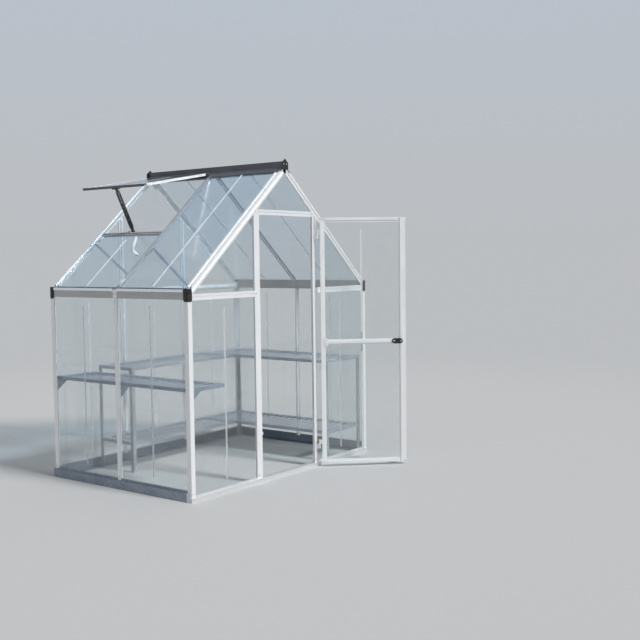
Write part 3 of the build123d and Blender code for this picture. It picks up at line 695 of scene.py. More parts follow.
class Shader(Graph):
    """Material with one principled surface, and short ways to its usual fields."""

    def __init__(self, name: str) -> None:
        """Start with the surface and the output that it feeds.

        Args:
            name: Name of the material.
        """
        self.material = bpy.data.materials.new(name)
        super().__init__(self.material)
        self.surface = self.node("BsdfPrincipled", {})
        self.output = self.node("OutputMaterial", {"Surface": self.surface.outputs["BSDF"]})

    def paint(self, colour: Socket, roughness: Socket | float, metal: float = 0.0) -> None:
        """Give the surface its colour, its roughness and its share of bare metal."""
        self.feed(self.surface, {"Base Color": colour, "Roughness": roughness, "Metallic": metal})

    def cover(self, factor: Socket, other: Socket) -> None:
        """Show another shader in place of the surface where the factor is 1."""
        mixed = self.either(factor, self.surface.outputs["BSDF"], other)
        self.feed(self.output, {"Surface": mixed})

    def place(self) -> Socket:
        """Object coordinates."""
        return self.field("TexCoord", {}, "Object")

    def along(self, grain: Grain, length: float, width: float) -> Socket:
        """Object coordinates stretched along a grain.

        Args:
            grain: Direction of the lines.
            length: Size of a unit along the lines.
            width: Size of a unit across them.

        Returns:
            The stretched coordinates.
        """
        place = self.place()
        if grain.mirrored:
            place = self.field("VectorMath", {0: place}, operation="ABSOLUTE")
        inputs = {"Vector": place, "Rotation": grain.turn, "Scale": (length, width, width)}
        return self.field("Mapping", inputs, vector_type="TEXTURE")

    def noise(self, place: Socket, scale: float, detail: float) -> Socket:
        """Soft random field from 0 to 1, with a number of waves in a unit and of finer layers."""
        return self.field("TexNoise", {"Vector": place, "Scale": scale, "Detail": detail})

    def spread(self, field: Socket, low: float = 0.0, high: float = 1.0) -> Socket:
        """Range that the busy middle of a field is carried onto.

        Args:
            field: Field that varies round one half.
            low: Result where the field is low.
            high: Result where the field is high.

        Returns:
            The ranged value.
        """
        inputs = {"Value": field, "From Min": 0.3, "From Max": 0.7, "To Min": low, "To Max": high}
        return self.field("MapRange", inputs)

    def relief(self, height: Socket, strength: float, distance: float) -> None:
        """Bump the surface by a field.

        Args:
            height: Field that raises the surface.
            strength: Share of the bump that shows.
            distance: Height of the bump where the field is 1.
        """
        inputs = {"Height": height, "Strength": strength, "Distance": distance}
        self.feed(self.surface, {"Normal": self.field("Bump", inputs)})


@dataclass(frozen=True)
class Finish:
    """Surface finish, whose material is built once and shared.

    Args:
        name: Name of the material.
        slot: Slot of the record that it belongs to.
    """

    name: str
    slot: Slot

    def material(self) -> bpy.types.Material:
        """Material of this finish, built when it is first asked for.

        Returns:
            The one material that all its users share.
        """
        known = bpy.data.materials.get(self.name)
        if known is None:
            shader = Shader(self.name)
            self.mix(shader)
            known = shader.material
        return known

    def mix(self, shader: Shader) -> None:
        """Add the nodes of the finish."""
        raise NotImplementedError

    def dress(self, *nodes: str) -> None:
        """Put the finish on CAD nodes.

        Args:
            nodes: Names of the nodes.
        """
        for name in nodes:
            part = frame["nodes"][name]
            if not part.material_slots:
                part.data.materials.append(self.material())
            for entry in part.material_slots:
                entry.material = self.material()
            log.info("%s wears %s", name, self.name)


@dataclass(frozen=True)
class RolledAluminium(Finish):
    """Extruded aluminium with fine die lines and a thin, cloudy oxide.

    Args:
        grain: Direction of the die lines.
        bright: Colour of the clean metal; some bars darken it as painted shade, and the grip lightens it as a
            painted glint.
        dull: Colour of the clouded metal, darkened or lightened along with it.
        metal: Share of the mirror-like part of the surface.
        shine: Roughness of the clean metal.
        haze: Roughness of the clouded metal.
        line_length: Length of a die line.
        line_width: Distance between die lines.
        cloud_share: Part of the clouds in the colour.
    """

    grain: Grain = Grain.UPRIGHT
    bright: Colour = (0.88, 0.885, 0.89)
    dull: Colour = (0.72, 0.735, 0.755)
    metal: float = 0.5
    shine: float = 0.32
    haze: float = 0.50
    line_length: float = 0.30
    line_width: float = 0.0012
    cloud_share: float = 0.35

    def mix(self, shader: Shader) -> None:
        """Die lines and clouds share the colour, the roughness and a faint relief.

        Args:
            shader: Shader that the nodes go in.
        """
        along = shader.along(self.grain, self.line_length, self.line_width)
        lines = shader.noise(along, scale=1.0, detail=2.0)
        clouds = shader.noise(shader.place(), scale=9.0, detail=5.0)
        field = shader.spread(shader.worked("MULTIPLY_ADD", clouds, self.cloud_share, lines))
        rough = shader.spread(clouds, self.haze, self.shine)
        shader.paint(shader.blend(field, self.dull, self.bright), rough, self.metal)
        shader.relief(lines, strength=0.12, distance=0.0003)


@dataclass(frozen=True)
class GalvanisedSteel(Finish):
    """Zinc-coated sheet with a crystal spangle and dull streaks.

    Args:
        dark: Colour of the darker crystals.
        light: Colour of the lighter crystals.
        crystals: Number of crystals in a metre.
        spangle_share: Part of the crystals in the colour.
    """

    dark: Colour = (0.20, 0.235, 0.29)
    light: Colour = (0.36, 0.40, 0.46)
    crystals: float = 95.0
    spangle_share: float = 0.45

    def mix(self, shader: Shader) -> None:
        """Each crystal has its own brightness and roughness, under a soft cloud.

        Args:
            shader: Shader that the nodes go in.
        """
        place = shader.place()
        spangle = shader.node("TexVoronoi", {"Vector": place, "Scale": self.crystals})
        crystal = shader.node("SeparateColor", {"Color": spangle.outputs["Color"]})
        clouds = shader.spread(shader.noise(place, scale=6.0, detail=6.0), low=0.1, high=0.7)
        field = shader.worked("MULTIPLY_ADD", crystal.outputs["Red"], self.spangle_share, clouds)
        rough = shader.spread(crystal.outputs["Green"], low=0.36, high=0.56)
        shader.paint(shader.blend(field, self.dark, self.light), rough, metal=0.8)
        shader.relief(spangle.outputs["Distance"], strength=0.10, distance=0.0004)


@dataclass(frozen=True)
class ClearSheet(Finish):
    """Clear extruded polycarbonate with a cool cast, faint ripples and a little dust.

    Args:
        cast: Colour that the sheet gives to what is seen through it.
        grain: Direction of the extrusion ripples.
        ripple: Height of the ripples.
        turn: Angle about the upright axis that the sheet is turned from the walls.
        frosting: Share of the light that the stressed folds scatter.
        index: How strongly the sheet bends and mirrors what is near it.
        bloom: Weight of the soft sheen that dust and rain marks leave on it.
        sheen: Roughness of that sheen.
        mirror: Strength of the sheet's own reflection, where a half is the full one.
        fold_dulling: Roughness that the folds add.
    """

    cast: Colour = (0.93, 0.96, 0.97)
    grain: Grain = Grain.UPRIGHT
    ripple: float = 0.0009
    turn: float = 0.0
    frosting: float = 0.12
    index: float = 1.58
    bloom: float = 0.0
    sheen: float = 0.24
    mirror: float = 0.22
    fold_dulling: float = 0.3

    def folds(self, shader: Shader) -> Socket:
        """Field that is 1 on the slanting sides of the stiffening folds and 0 on the flat sheet.

        A flat sheet's face direction lies along the house or square to it, so the product of its
        parts along and across the house is 0, and only the folds' sides have both.

        Args:
            shader: Shader that the field goes in.

        Returns:
            The field.
        """
        face = {"Vector": shader.field("NewGeometry", {}, "True Normal")}
        ways = {"vector_type": "NORMAL", "convert_from": "WORLD", "convert_to": "OBJECT"}
        local = {"Vector": shader.field("VectorTransform", face, **ways), "Angle": -self.turn}
        back = shader.field("VectorRotate", local, rotation_type="Z_AXIS")
        size = shader.field("VectorMath", {0: back}, operation="ABSOLUTE")
        parts = shader.node("SeparateXYZ", {"Vector": size}).outputs
        slant = shader.worked("MULTIPLY", parts["X"], parts["Y"])
        return shader.field("MapRange", {"Value": slant, "From Min": 0.04, "From Max": 0.12})

    def mix(self, shader: Shader) -> None:
        """Clear shader with ripples along the sheet and frosted folds, which lets the sun through.

        Args:
            shader: Shader that the nodes go in.
        """
        folds = self.folds(shader)
        dust = shader.noise(shader.place(), scale=14.0, detail=6.0)
        dimmed = 0.97
        hazy = tuple(dimmed * part for part in self.cast)
        dull = shader.spread(dust, low=0.015, high=0.075)
        rough = shader.worked("MULTIPLY_ADD", folds, self.fold_dulling, dull)
        shader.paint(shader.blend(shader.spread(dust), self.cast, hazy), rough)
        look = {"IOR": self.index, "Specular IOR Level": self.mirror}
        look |= {"Coat Weight": self.bloom, "Coat Roughness": self.sheen, "Coat IOR": 1.58}
        look["Transmission Weight"] = shader.worked("MULTIPLY_ADD", folds, -self.frosting, 1.0)
        shader.feed(shader.surface, look)
        along = shader.along(self.grain, length=0.9, width=0.05)
        shader.relief(shader.noise(along, scale=1.0, detail=2.0), strength=0.35, distance=self.ripple)
        through = shader.field("BsdfTransparent", {"Color": (*self.cast, 1.0)})
        shader.cover(shader.ray("Shadow", "Diffuse"), through)


@dataclass(frozen=True)
class CloudedCoat(Finish):
    """Moulded plastic or plating, with small clouds in its colour and its shine.

    Args:
        thin: Colour where a cloud is thin.
        thick: Colour where it is thick.
        waves: Number of clouds in a metre.
        layers: Number of finer layers in them.
        rough: Roughness where a cloud is thin, and where it is thick.
        metal: Share of bare metal.
        grit: Height of the fine grain in relief, 0 for none.
        grit_waves: Number of grains in a metre.
    """

    thin: Colour
    thick: Colour
    waves: float
    layers: float
    rough: Pair
    metal: float = 0.0
    grit: float = 0.0
    grit_waves: float = 1400.0

    def mix(self, shader: Shader) -> None:
        """Slow clouds in colour and roughness, and a fine grain in relief where there is one.

        Args:
            shader: Shader that the nodes go in.
        """
        place = shader.place()
        clouds = shader.noise(place, self.waves, self.layers)
        shade = shader.blend(shader.spread(clouds), self.thin, self.thick)
        shader.paint(shade, shader.spread(clouds, *self.rough), self.metal)
        if self.grit > 0:
            shader.relief(shader.noise(place, self.grit_waves, detail=2.0), strength=0.25, distance=self.grit)


UPRIGHT_BAR = RolledAluminium("upright_aluminium", Slot.ALUMINIUM, Grain.UPRIGHT)
GABLE_BAR = RolledAluminium("gable_aluminium", Slot.ALUMINIUM, Grain.ACROSS)
SIDE_BAR = RolledAluminium("side_aluminium", Slot.ALUMINIUM, Grain.DEEP)
ROOF_BAR = RolledAluminium("roof_aluminium", Slot.ALUMINIUM, Grain.SLOPE)
VENT_BAR = RolledAluminium("vent_aluminium", Slot.ALUMINIUM, Grain.VENT)
LEAF_BAR = RolledAluminium("leaf_aluminium", Slot.ALUMINIUM, Grain.LEAF)
# Near-black aluminium on the ridge and the vent's rails: painted shade
SHADED_RIDGE_BAR = RolledAluminium(
    "ridge_aluminium_painted_shade", Slot.ALUMINIUM, Grain.DEEP, bright=(0.13, 0.135, 0.145), dull=(0.075, 0.078, 0.085)
)
# Darkened aluminium on the eave beams and the vent's sill: painted shade
SHADED_EAVE_BAR = RolledAluminium(
    "eave_aluminium_painted_shade", Slot.ALUMINIUM, Grain.DEEP, bright=(0.50, 0.495, 0.49), dull=(0.35, 0.345, 0.34)
)
# Darkened aluminium on the middle rafters and the braces: painted shade
SHADED_RAFTER_BAR = RolledAluminium(
    "rafter_aluminium_painted_shade", Slot.ALUMINIUM, Grain.SLOPE, bright=(0.50, 0.51, 0.53), dull=(0.33, 0.34, 0.36)
)
BEAD_BAR = RolledAluminium(
    "bead_aluminium", Slot.ALUMINIUM, Grain.DEEP, (0.95, 0.96, 0.98), (0.88, 0.90, 0.93), 0.9, 0.22, 0.34
)
# Near-white, almost non-metal aluminium on the stay's grip: a painted glint
GLINT_GRIP_BAR = RolledAluminium(
    "grip_aluminium_painted_glint", Slot.ALUMINIUM, Grain.UPRIGHT, (0.94, 0.94, 0.94), (0.88, 0.88, 0.89), 0.1
)
SILL_BAR = RolledAluminium(
    "threshold_aluminium", Slot.ALUMINIUM, Grain.ACROSS, bright=(0.68, 0.68, 0.69), dull=(0.54, 0.545, 0.56)
)
ZINC_SHEET = GalvanisedSteel("galvanised_steel", Slot.STEEL)
PALE_ZINC = GalvanisedSteel("pale_galvanised_steel", Slot.STEEL, (0.36, 0.385, 0.42), (0.55, 0.57, 0.60))
WALL_SHEET = ClearSheet("wall_polycarbonate", Slot.CLEAR)
LEAF_SHEET = ClearSheet("leaf_polycarbonate", Slot.CLEAR, turn=LEAF.open_angle)
# The roof's bluer cast over the sheet's faint tint is partly a painted sky reflection
ROOF_SHEET = ClearSheet(
    "roof_polycarbonate",
    Slot.CLEAR,
    cast=(0.84, 0.91, 0.96),
    grain=Grain.SLOPE,
    frosting=0.6,
    index=1.12,
    bloom=0.5,
)
BLACK = CloudedCoat(
    "black_moulding",
    Slot.PLASTIC,
    thin=(0.006, 0.006, 0.007),
    thick=(0.020, 0.020, 0.022),
    waves=30.0,
    layers=5.0,
    rough=(0.22, 0.42),
    grit=0.0002,
)
PLATED = CloudedCoat(
    "zinc_fastening",
    Slot.STEEL,
    thin=(0.50, 0.51, 0.54),
    thick=(0.72, 0.73, 0.75),
    waves=220.0,
    layers=3.0,
    rough=(0.42, 0.24),
    metal=1.0,
)


# Sub-assemblies
def screws(name: str, spots: Sequence[Spots], head: Head = PanHead(), body: str = "house") -> None:
    """Piece made of one zinc-plated head at each place.

    Args:
        name: Name of the piece.
        spots: Pairs of points and of the direction that the heads there face.
        head: Kind of head.
        body: Body that the piece moves with.
    """
    piece(name, scattered(head.form(), spots), body, PLATED)


@dataclass(frozen=True)
class BaseFrame:
    """Folded steel base with its low threshold and the screws that hold it.

    Args:
        anchor_inset: Distance from the wall's outer plane to an anchor screw.
        anchor_half_pitch: Distance from the middle to an anchor screw along the side.
        floor_sheet: Thickness of the base's foot, which an anchor screw rests on.
        screw_inset: Distance from a corner to its screws.
        overhang: Distance that the base stands out from the walls.
        head: Head of a corner screw.
    """

    anchor_inset: float = 0.020
    anchor_half_pitch: float = 0.450
    floor_sheet: float = 0.002
    screw_inset: float = 0.045
    overhang: float = 0.010
    head: PanHead = PanHead(radius=0.0038)

    def dress(self) -> None:
        """Zinc on the folded rails and satin aluminium on the threshold."""
        SILL_BAR.dress("base_front")
        ZINC_SHEET.dress("base_rear", "base_left", "base_right")

    def fasten(self) -> None:
        """Anchor screws in the side rails, and corner screws on the rails' outer ledge."""
        foot = HOUSE.half_width - self.anchor_inset
        pitch = self.anchor_half_pitch
        anchors = [(side * foot, way * pitch, self.floor_sheet) for side in SIDES for way in SIDES]
        screws("anchor_screws", [(np.array(anchors), UP)], HexHead())
        side_ledge = HOUSE.half_width + self.overhang / 2
        end = HOUSE.half_depth - self.screw_inset
        rows = [(side * side_ledge, way * end, HOUSE.base_height) for side in SIDES for way in SIDES]
        rear_ledge = HOUSE.half_depth + self.overhang / 2
        back = HOUSE.half_width - self.screw_inset
        rows += [(side * back, rear_ledge, HOUSE.base_height) for side in SIDES]
        screws("base_screws", [(np.array(rows), UP)], self.head)


@dataclass(frozen=True)
class WallFrame:
    """Posts, studs, jambs, bars and eave beams, with their screws and the eave splices.

    Args:
        post_inset: Distance from a corner to a post's screws.
        foot_rise: Height of a foot screw over the base.
        splice_length: Length of the plate over the joint in an eave beam.
        splice_height: Height of that plate.
        splice_sheet: Thickness of that plate.
        lip_height: Height of the gutter's lip over the eave.
        lip_width: Width of the gutter's lip.
        bead_width: Distance that the bead on the lip stands out.
        bead_height: Height of that bead.
        bead_rise: Height of the bead's top over the lip.
        cap_length: Distance from a gable's outer plane to the end of an eave cap.
    """

    post_inset: float = 0.010
    foot_rise: float = 0.022
    splice_length: float = 0.036
    splice_height: float = 0.052
    splice_sheet: float = 0.0016
    lip_height: float = 0.004
    lip_width: float = 0.008
    bead_width: float = 0.006
    bead_height: float = 0.016
    bead_rise: float = 0.007
    cap_length: float = 0.036

    def dress(self) -> None:
        """Die lines follow each bar; the eave beams wear aluminium painted darker, as painted shade."""
        UPRIGHT_BAR.dress("corner_posts_front", "corner_posts_rear", "wall_studs")
        UPRIGHT_BAR.dress("door_jambs", "rear_studs")
        GABLE_BAR.dress("door_header", "gable_bars_front", "gable_bars_rear")
        SHADED_EAVE_BAR.dress("eave_beam_left", "eave_beam_right")

    def gable_screws(self, way: float, foot: float, heads: Sequence[float]) -> Spots:
        """Screws on the outer face of one gable wall.

        Args:
            way: -1 for the front wall, 1 for the rear wall.
            foot: Height of the base rail there.
            heads: Heights of the cross bars that meet the uprights.

        Returns:
            The screws' places and their outward direction.
        """
        post = HOUSE.half_width - self.post_inset
        y = way * HOUSE.half_depth
        low = foot + self.foot_rise
        rows = [(side * post, y, low) for side in SIDES]
        rows += [(side * HOUSE.jamb_centre, y, z) for side in SIDES for z in (low, *heads)]
        return np.array(rows), (0, way, 0)

    def side_screws(self, side: float) -> Spots:
        """Screws on the outer face of one side wall.

        Args:
            side: -1 for the left wall, 1 for the right wall.

        Returns:
            The screws' places and their outward direction.
        """
        x = side * HOUSE.half_width
        low = HOUSE.base_height + self.foot_rise
        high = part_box("wall_studs")[1].z - self.foot_rise
        post = HOUSE.half_depth - self.post_inset
        return np.array([(x, -post, low), (x, post, low), (x, 0.0, low), (x, 0.0, high)]), (side, 0, 0)

    def splices(self) -> Form:
        """Thin plates folded over the gutter's lip at the middle of each eave beam.

        The right plate is the section of a bent sheet carried along the beam, and the left one is its
        mirror image.

        Returns:
            The two plates.
        """
        half = self.splice_length / 2
        wall = self.splice_sheet / 2
        top = self.lip_height + wall
        inner = -self.lip_width - self.splice_sheet
        line = [(wall, top - self.splice_height), (wall, top), (inner, top), (inner, top - self.lip_width)]
        section = folded_strip(np.array(line), self.splice_sheet)
        start = np.array([HOUSE.half_width, -half, HOUSE.eave_height])
        right = bar_form(section[:, ::-1][::-1], start, start + [0, 2 * half, 0], UP)
        left = Form(right.points * [-1, 1, 1], right.quads[:, ::-1], right.lids[:, ::-1])
        return joined([right, left])

    def beads(self) -> Form:
        """Rounded beads along the gutters' lips, from the caps to the splices.

        Each bead is a rounded outline carried along a straight run.

        Returns:
            The four beads.
        """
        profile = rounded_plate(self.bead_width, self.bead_height, squareness=2.6, steps=12)
        x = HOUSE.half_width + self.bead_width / 2
        z = HOUSE.eave_height + self.lip_height + self.bead_rise - self.bead_height / 2
        near = self.splice_length / 2 + self.splice_sheet
        far = HOUSE.half_depth - self.cap_length
        runs = [(side * x, *run) for side in SIDES for run in ((-far, -near), (near, far))]
        return joined([bar_form(profile, (x, start, z), (x, end, z), (1, 0, 0)) for x, start, end in runs])

    def fasten(self) -> None:
        """Screws where the bars meet, the gutter beads, and the splice plates with two screws each."""
        bar = middle("gable_bars_front", 2)
        spots = [self.gable_screws(-1, HOUSE.threshold_height, (bar, middle("door_header", 2)))]
        spots += [self.gable_screws(1, HOUSE.base_height, (bar,)), *map(self.side_screws, SIDES)]
        reach = HOUSE.half_width + self.splice_sheet
        quarter = self.splice_length / 4
        level = HOUSE.eave_height + self.lip_height - self.splice_height / 2
        for side in SIDES:
            spots.append((np.array([(side * reach, way * quarter, level) for way in SIDES]), (side, 0, 0)))
        screws("wall_screws", spots)
        piece("eave_splices", self.splices(), "house", SIDE_BAR, SOFT_EDGE)
        piece("gutter_beads", self.beads(), "house", BEAD_BAR)


@dataclass(frozen=True)
class RoofFrame:
    """Ridge, rafters, braces and caps, with their screws and the rafter clips.

    Args:
        wing_run: Distance down the slope of the screws in the ridge's wings.
        foot_gap: Distance from the eave of the lowest rafter screws.
        gable_inset: Distance from a gable's outer plane to the screws in its rafters.
        clip_length: Length of the clip at a middle rafter's foot.
        clip_width: Width of that clip.
        clip_sheet: Thickness of that clip.
        cap_screw_spread: Half the distance between the screws of a ridge end plate.
        cap_wall: Thickness of an eave cap.
        cap_middle: Distance from a wall's outer plane to the middle of an eave cap's face.
        cap_drop: Distance from the eave down to the middle of an eave cap's face.
        boss: Width, height and rise of the boss on an eave cap.
        rung: Width, height and rise of a rung on an eave cap.
        rung_pitch: Distance between the rungs.
    """

    wing_run: float = 0.060
    foot_gap: float = 0.085
    gable_inset: float = 0.010
    clip_length: float = 0.046
    clip_width: float = 0.030
    clip_sheet: float = 0.0018
    cap_screw_spread: float = 0.014
    cap_wall: float = 0.003
    cap_middle: float = 0.0155
    cap_drop: float = 0.0235
    boss: Direction = (0.026, 0.064, 0.0022)
    rung: Direction = (0.022, 0.006, 0.0016)
    rung_pitch: float = 0.017

    def dress(self) -> None:
        """Satin front and rear rafters, a ridge painted dark as shade, middle rafters and braces painted
        darker as shade, and black plastic ends.
        """
        SHADED_RIDGE_BAR.dress("ridge_beam")
        ROOF_BAR.dress("rafters_front", "rafters_rear")
        SHADED_RAFTER_BAR.dress("rafters_middle", "roof_braces")
        BLACK.dress("eave_caps", "ridge_end_caps")

    def slope_screws(self, side: float) -> Spots:
        """Screws on the outer plane of one slope.

        Args:
            side: -1 for the left slope, 1 for the right slope.

        Returns:
            The screws' places and their outward direction.
        """
        gable = HOUSE.half_depth - self.gable_inset
        foot = HOUSE.slope_length - self.foot_gap
        half_way = (self.wing_run + foot) / 2
        rows = [(run, y) for run in (self.wing_run, half_way, foot) for y in (-gable, gable)]
        runs, y = np.array([*rows, (self.wing_run, 0.0)]).T
        return HOUSE.on_slope(runs, 0.0, y, side), HOUSE.slope_normal(side)

    def clips(self) -> Form:
        """Flat clips over the feet of the two middle rafters.

        Each clip is a rounded outline carried up from the slope by the clip's thickness.

        Returns:
            The two clips.
        """
        outline = rounded_plate(self.clip_width, self.clip_length, squareness=7.0)
        forms = []
        for side in SIDES:
            foot = HOUSE.on_slope([HOUSE.slope_length - self.foot_gap], 0.0, 0.0, side)[0]
            rise = np.array(HOUSE.slope_normal(side)) * self.clip_sheet
            forms.append(bar_form(outline, foot, foot + rise, (0, 1, 0)))
        return joined(forms)

    def cap_relief(self) -> Form:
        """Rimmed boss on the side face of each eave cap, and three rungs on its gable face.

        Returns:
            The bosses and the rungs.
        """
        x = HOUSE.half_width + self.cap_wall
        y = HOUSE.half_depth + self.cap_wall
        level = HOUSE.eave_height - self.cap_drop
        inner_x = HOUSE.half_width - self.cap_middle
        inner_y = HOUSE.half_depth - self.cap_middle
        rises = [level + step * self.rung_pitch for step in (-1, 0, 1)]
        bosses = []
        rungs = []
        for side in SIDES:
            rows = [(side * x, way * inner_y, level) for way in SIDES]
            bosses.append((np.array(rows), (side, 0, 0)))
            rows = [(way * inner_x, side * y, rise) for way in SIDES for rise in rises]
            rungs.append((np.array(rows), (0, side, 0)))
        shield = scattered(oval_boss(*self.boss, squareness=2.5, rim=True), bosses)
        steps = scattered(oval_boss(*self.rung, squareness=3.0, rim=False), rungs)
        return joined([shield, steps])

    def fasten(self) -> None:
        """Screws on the slopes, the clips with two screws each, and the fittings of the caps."""
        spots = [*map(self.slope_screws, SIDES)]
        shift = self.clip_length / 4
        foot = HOUSE.slope_length - self.foot_gap
        for side in SIDES:
            rows = HOUSE.on_slope([foot - shift, foot + shift], -self.clip_sheet, 0.0, side)
            spots.append((rows, HOUSE.slope_normal(side)))
        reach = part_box("ridge_end_caps")[1].y
        level = middle("ridge_end_caps", 2)
        for way in SIDES:
            rows = [(side * self.cap_screw_spread, way * reach, level) for side in SIDES]
            spots.append((np.array(rows), (0, way, 0)))
        screws("roof_screws", spots)
        piece("rafter_clips", self.clips(), "house", ROOF_BAR, SOFT_EDGE)
        piece("cap_relief", self.cap_relief(), "house", BLACK)


@dataclass(frozen=True)
class Glazing:
    """Clear sheets of the walls, the gables, the roof and the rear."""

    def dress(self) -> None:
        """Roof sheets take a bluer cast than the walls', partly a painted reflection of the sky."""
        WALL_SHEET.dress("wall_panes_left", "wall_panes_right", "wall_panes_front")
        WALL_SHEET.dress("gable_panes_front", "rear_panes")
        ROOF_SHEET.dress("roof_panes_left", "roof_panes_right")


@dataclass(frozen=True)
class RoofVent:
    """Raised vent in the left slope, its sill and its stay.

    Args:
        pivot_run: Distance down the slope of the hinge bead.
        pivot_rise: Height of the bead over the slope.
        start: Distance down the slope of the vent's top edge when shut.
        end: Distance down the slope of its lower edge when shut.
        depth: Height of the vent's outer face over the slope when shut.
        corner_inset: Distance from the vent's edges to its screws.
        stay_inset: Distance from the lower edge to the head of the stay.
        stay_level: Height over the slope of the stay's head when shut, negative below it.
        knob_radius: Radius of the knob at the stay's head.
        knob_length: Length of that knob.
        foot_run: Distance down the slope of the point where the stay crosses it.
        stay_tail: Length of the stay's straight part below that point.
        rim_spread: Distance from the stay's middle to its rims.
        rim_size: Width and depth of a rim.
        rim_gaps: Distances from the stay's head and foot to the ends of a rim.
        clip_size: Width and depth of the clip that holds the stay's head.
        clip_half: Half the length of that clip.
        clip_level: Height over the slope of its middle when shut, negative below it.
        clip_shift: Distance from the stay's head down to the clip.
        grip_size: Width and depth of the grip.
        grip_knee: Way across and up from the end of the straight part to the grip's lower bend.
        grip_tip: Way across and up from the lower bend to the grip's tip.
        grip_bend: Radius of the grip's bends.
        grip_start: Distance along the stay from the slope to the top of the grip.
    """

    pivot_run: float = 0.045
    pivot_rise: float = 0.012
    start: float = 0.0505
    end: float = 0.657
    depth: float = 0.0163
    corner_inset: float = 0.012
    stay_inset: float = 0.032
    stay_level: float = -0.010
    knob_radius: float = 0.010
    knob_length: float = 0.012
    foot_run: float = 0.628
    stay_tail: float = 0.060
    rim_spread: float = 0.012
    rim_size: Pair = (0.005, 0.013)
    rim_gaps: Pair = (0.016, 0.020)
    clip_size: Pair = (0.018, 0.0088)
    clip_half: float = 0.032
    clip_level: float = -0.0044
    clip_shift: float = 0.004
    grip_size: Pair = (0.025, 0.015)
    grip_knee: Direction = (-0.042, 0.0, -0.085)
    grip_tip: Direction = (0.060, 0.0, -0.028)
    grip_bend: float = 0.028
    grip_start: float = 0.034
    open_angle = radians(31.0)

    def point(self, runs: Array, y: Array, rise: float) -> Array:
        """Points of the raised vent.

        Args:
            runs: Distances down the slope when the vent is shut.
            y: Places along the house.
            rise: Height over the slope when the vent is shut.

        Returns:
            One row of x, y, z for each point after the vent is raised.
        """
        dx = np.asarray(runs, float) - self.pivot_run
        dz = rise - self.pivot_rise
        run = self.pivot_run + dx * cos(self.open_angle) - dz * sin(self.open_angle)
        lift = self.pivot_rise + dx * sin(self.open_angle) + dz * cos(self.open_angle)
        return HOUSE.on_slope(run, -lift, y, -1)

    def normal(self) -> Direction:
        """Outward direction of the raised vent."""
        lean = HOUSE.pitch - self.open_angle
        return (-sin(lean), 0.0, cos(lean))

    def dress(self) -> None:
        """Rails painted dark like the ridge and a sill painted darker, both as painted shade, bright stiles,
        a bluish roof sheet, black stay.
        """
        SHADED_RIDGE_BAR.dress("vent_rails")
        SHADED_EAVE_BAR.dress("vent_sill")
        VENT_BAR.dress("vent_stiles")
        ROOF_SHEET.dress("vent_pane")
        BLACK.dress("vent_stay")

    @property
    def stay_middle(self) -> float:
        """Place along the house of the middle of the stay."""
        return middle("vent_stay", 1)

    def stay_line(self) -> tuple[Array, Array, Array]:
        """Line of the stay, from its head under the vent to the slope.

        Returns:
            Head, point where the stay crosses the slope, and direction from one to the other.
        """
        head = self.point([self.end - self.stay_inset], self.stay_middle, self.stay_level)[0]
        foot = HOUSE.on_slope([self.foot_run], 0.0, self.stay_middle, -1)[0]
        return head, foot, unit(foot - head)

    def grip(self) -> Form:
        """Rounded S-shaped grip that hangs from the stay inside the roof.

        It is a rounded outline carried along a path whose two inner corners are rounded.

        Returns:
            The grip.
        """
        _, foot, lean = self.stay_line()
        knee = foot + lean * self.stay_tail
        hook = knee + self.grip_knee
        corners = [foot + lean * self.grip_start, knee, hook, hook + self.grip_tip]
        path = bent_path(np.array(corners), self.grip_bend)
        return swept_form(path, rounded_plate(*self.grip_size, squareness=2.6, steps=16), (0, 1, 0))

    def rims(self) -> Form:
        """Two rims along the edges of the stay, and the clip that holds its head under the vent.

        Each is a rounded outline carried along a straight run.

        Returns:
            The rims and the clip.
        """
        head, foot, lean = self.stay_line()
        across = np.cross((0.0, 1.0, 0.0), lean)
        outline = rounded_plate(*self.rim_size, squareness=4.0, steps=16)
        top, bottom = (lean * gap for gap in self.rim_gaps)
        shifts = [across * way * self.rim_spread for way in SIDES]
        forms = [bar_form(outline, head + top + shift, foot - bottom + shift, across) for shift in shifts]
        runs = [self.end - self.stay_inset + self.clip_shift] * 2
        y = self.stay_middle + np.array(SIDES) * self.clip_half
        flat = np.cross((0.0, 1.0, 0.0), self.normal())
        outline = rounded_plate(*self.clip_size, squareness=4.0, steps=16)
        return joined([*forms, bar_form(outline, *self.point(runs, y, self.clip_level), flat)])

    def knob(self) -> Form:
        """Ribbed knob on both sides of the stay's head.

        The radius swings with the cosine of ten times the angle, so that the rim has ten ribs.

        Returns:
            The closed knob, lying along the house.
        """
        ribs, swing = 10, 0.05
        angle = np.arange(4 * ribs) * (2 * pi / (4 * ribs))
        ribbed = self.knob_radius * (1 + swing * np.cos(ribs * angle))
        reach = np.array([0.55, 0.86, 1.0, 1.0, 0.86, 0.55])
        level = np.array([1.0, 1.0, 0.8, -0.8, -1.0, -1.0]) * self.knob_length / 2
        head = turned_form(reach[:, None] * ribbed, level[:, None])
        return scattered(head, [(self.stay_line()[0][None], (0, -1, 0))])

    def fasten(self) -> None:
        """Corner screws of the vent, and the stay's knob with its screw, its rims and its grip."""
        low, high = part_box("vent_pane")
        runs = np.repeat([self.start + self.corner_inset, self.end - self.corner_inset], 2)
        edge = self.corner_inset / 2
        corners = self.point(runs, np.array([low.y + edge, high.y - edge] * 2), self.depth)
        hub = self.stay_line()[0][None] - [0.0, self.knob_length / 2, 0.0]
        screws("vent_screws", [(corners, self.normal()), (hub, (0, -1, 0))])
        piece("stay_knob", self.knob(), "house", BLACK)
        piece("stay_rims", self.rims(), "house", BLACK)
        piece("stay_grip", self.grip(), "house", GLINT_GRIP_BAR)


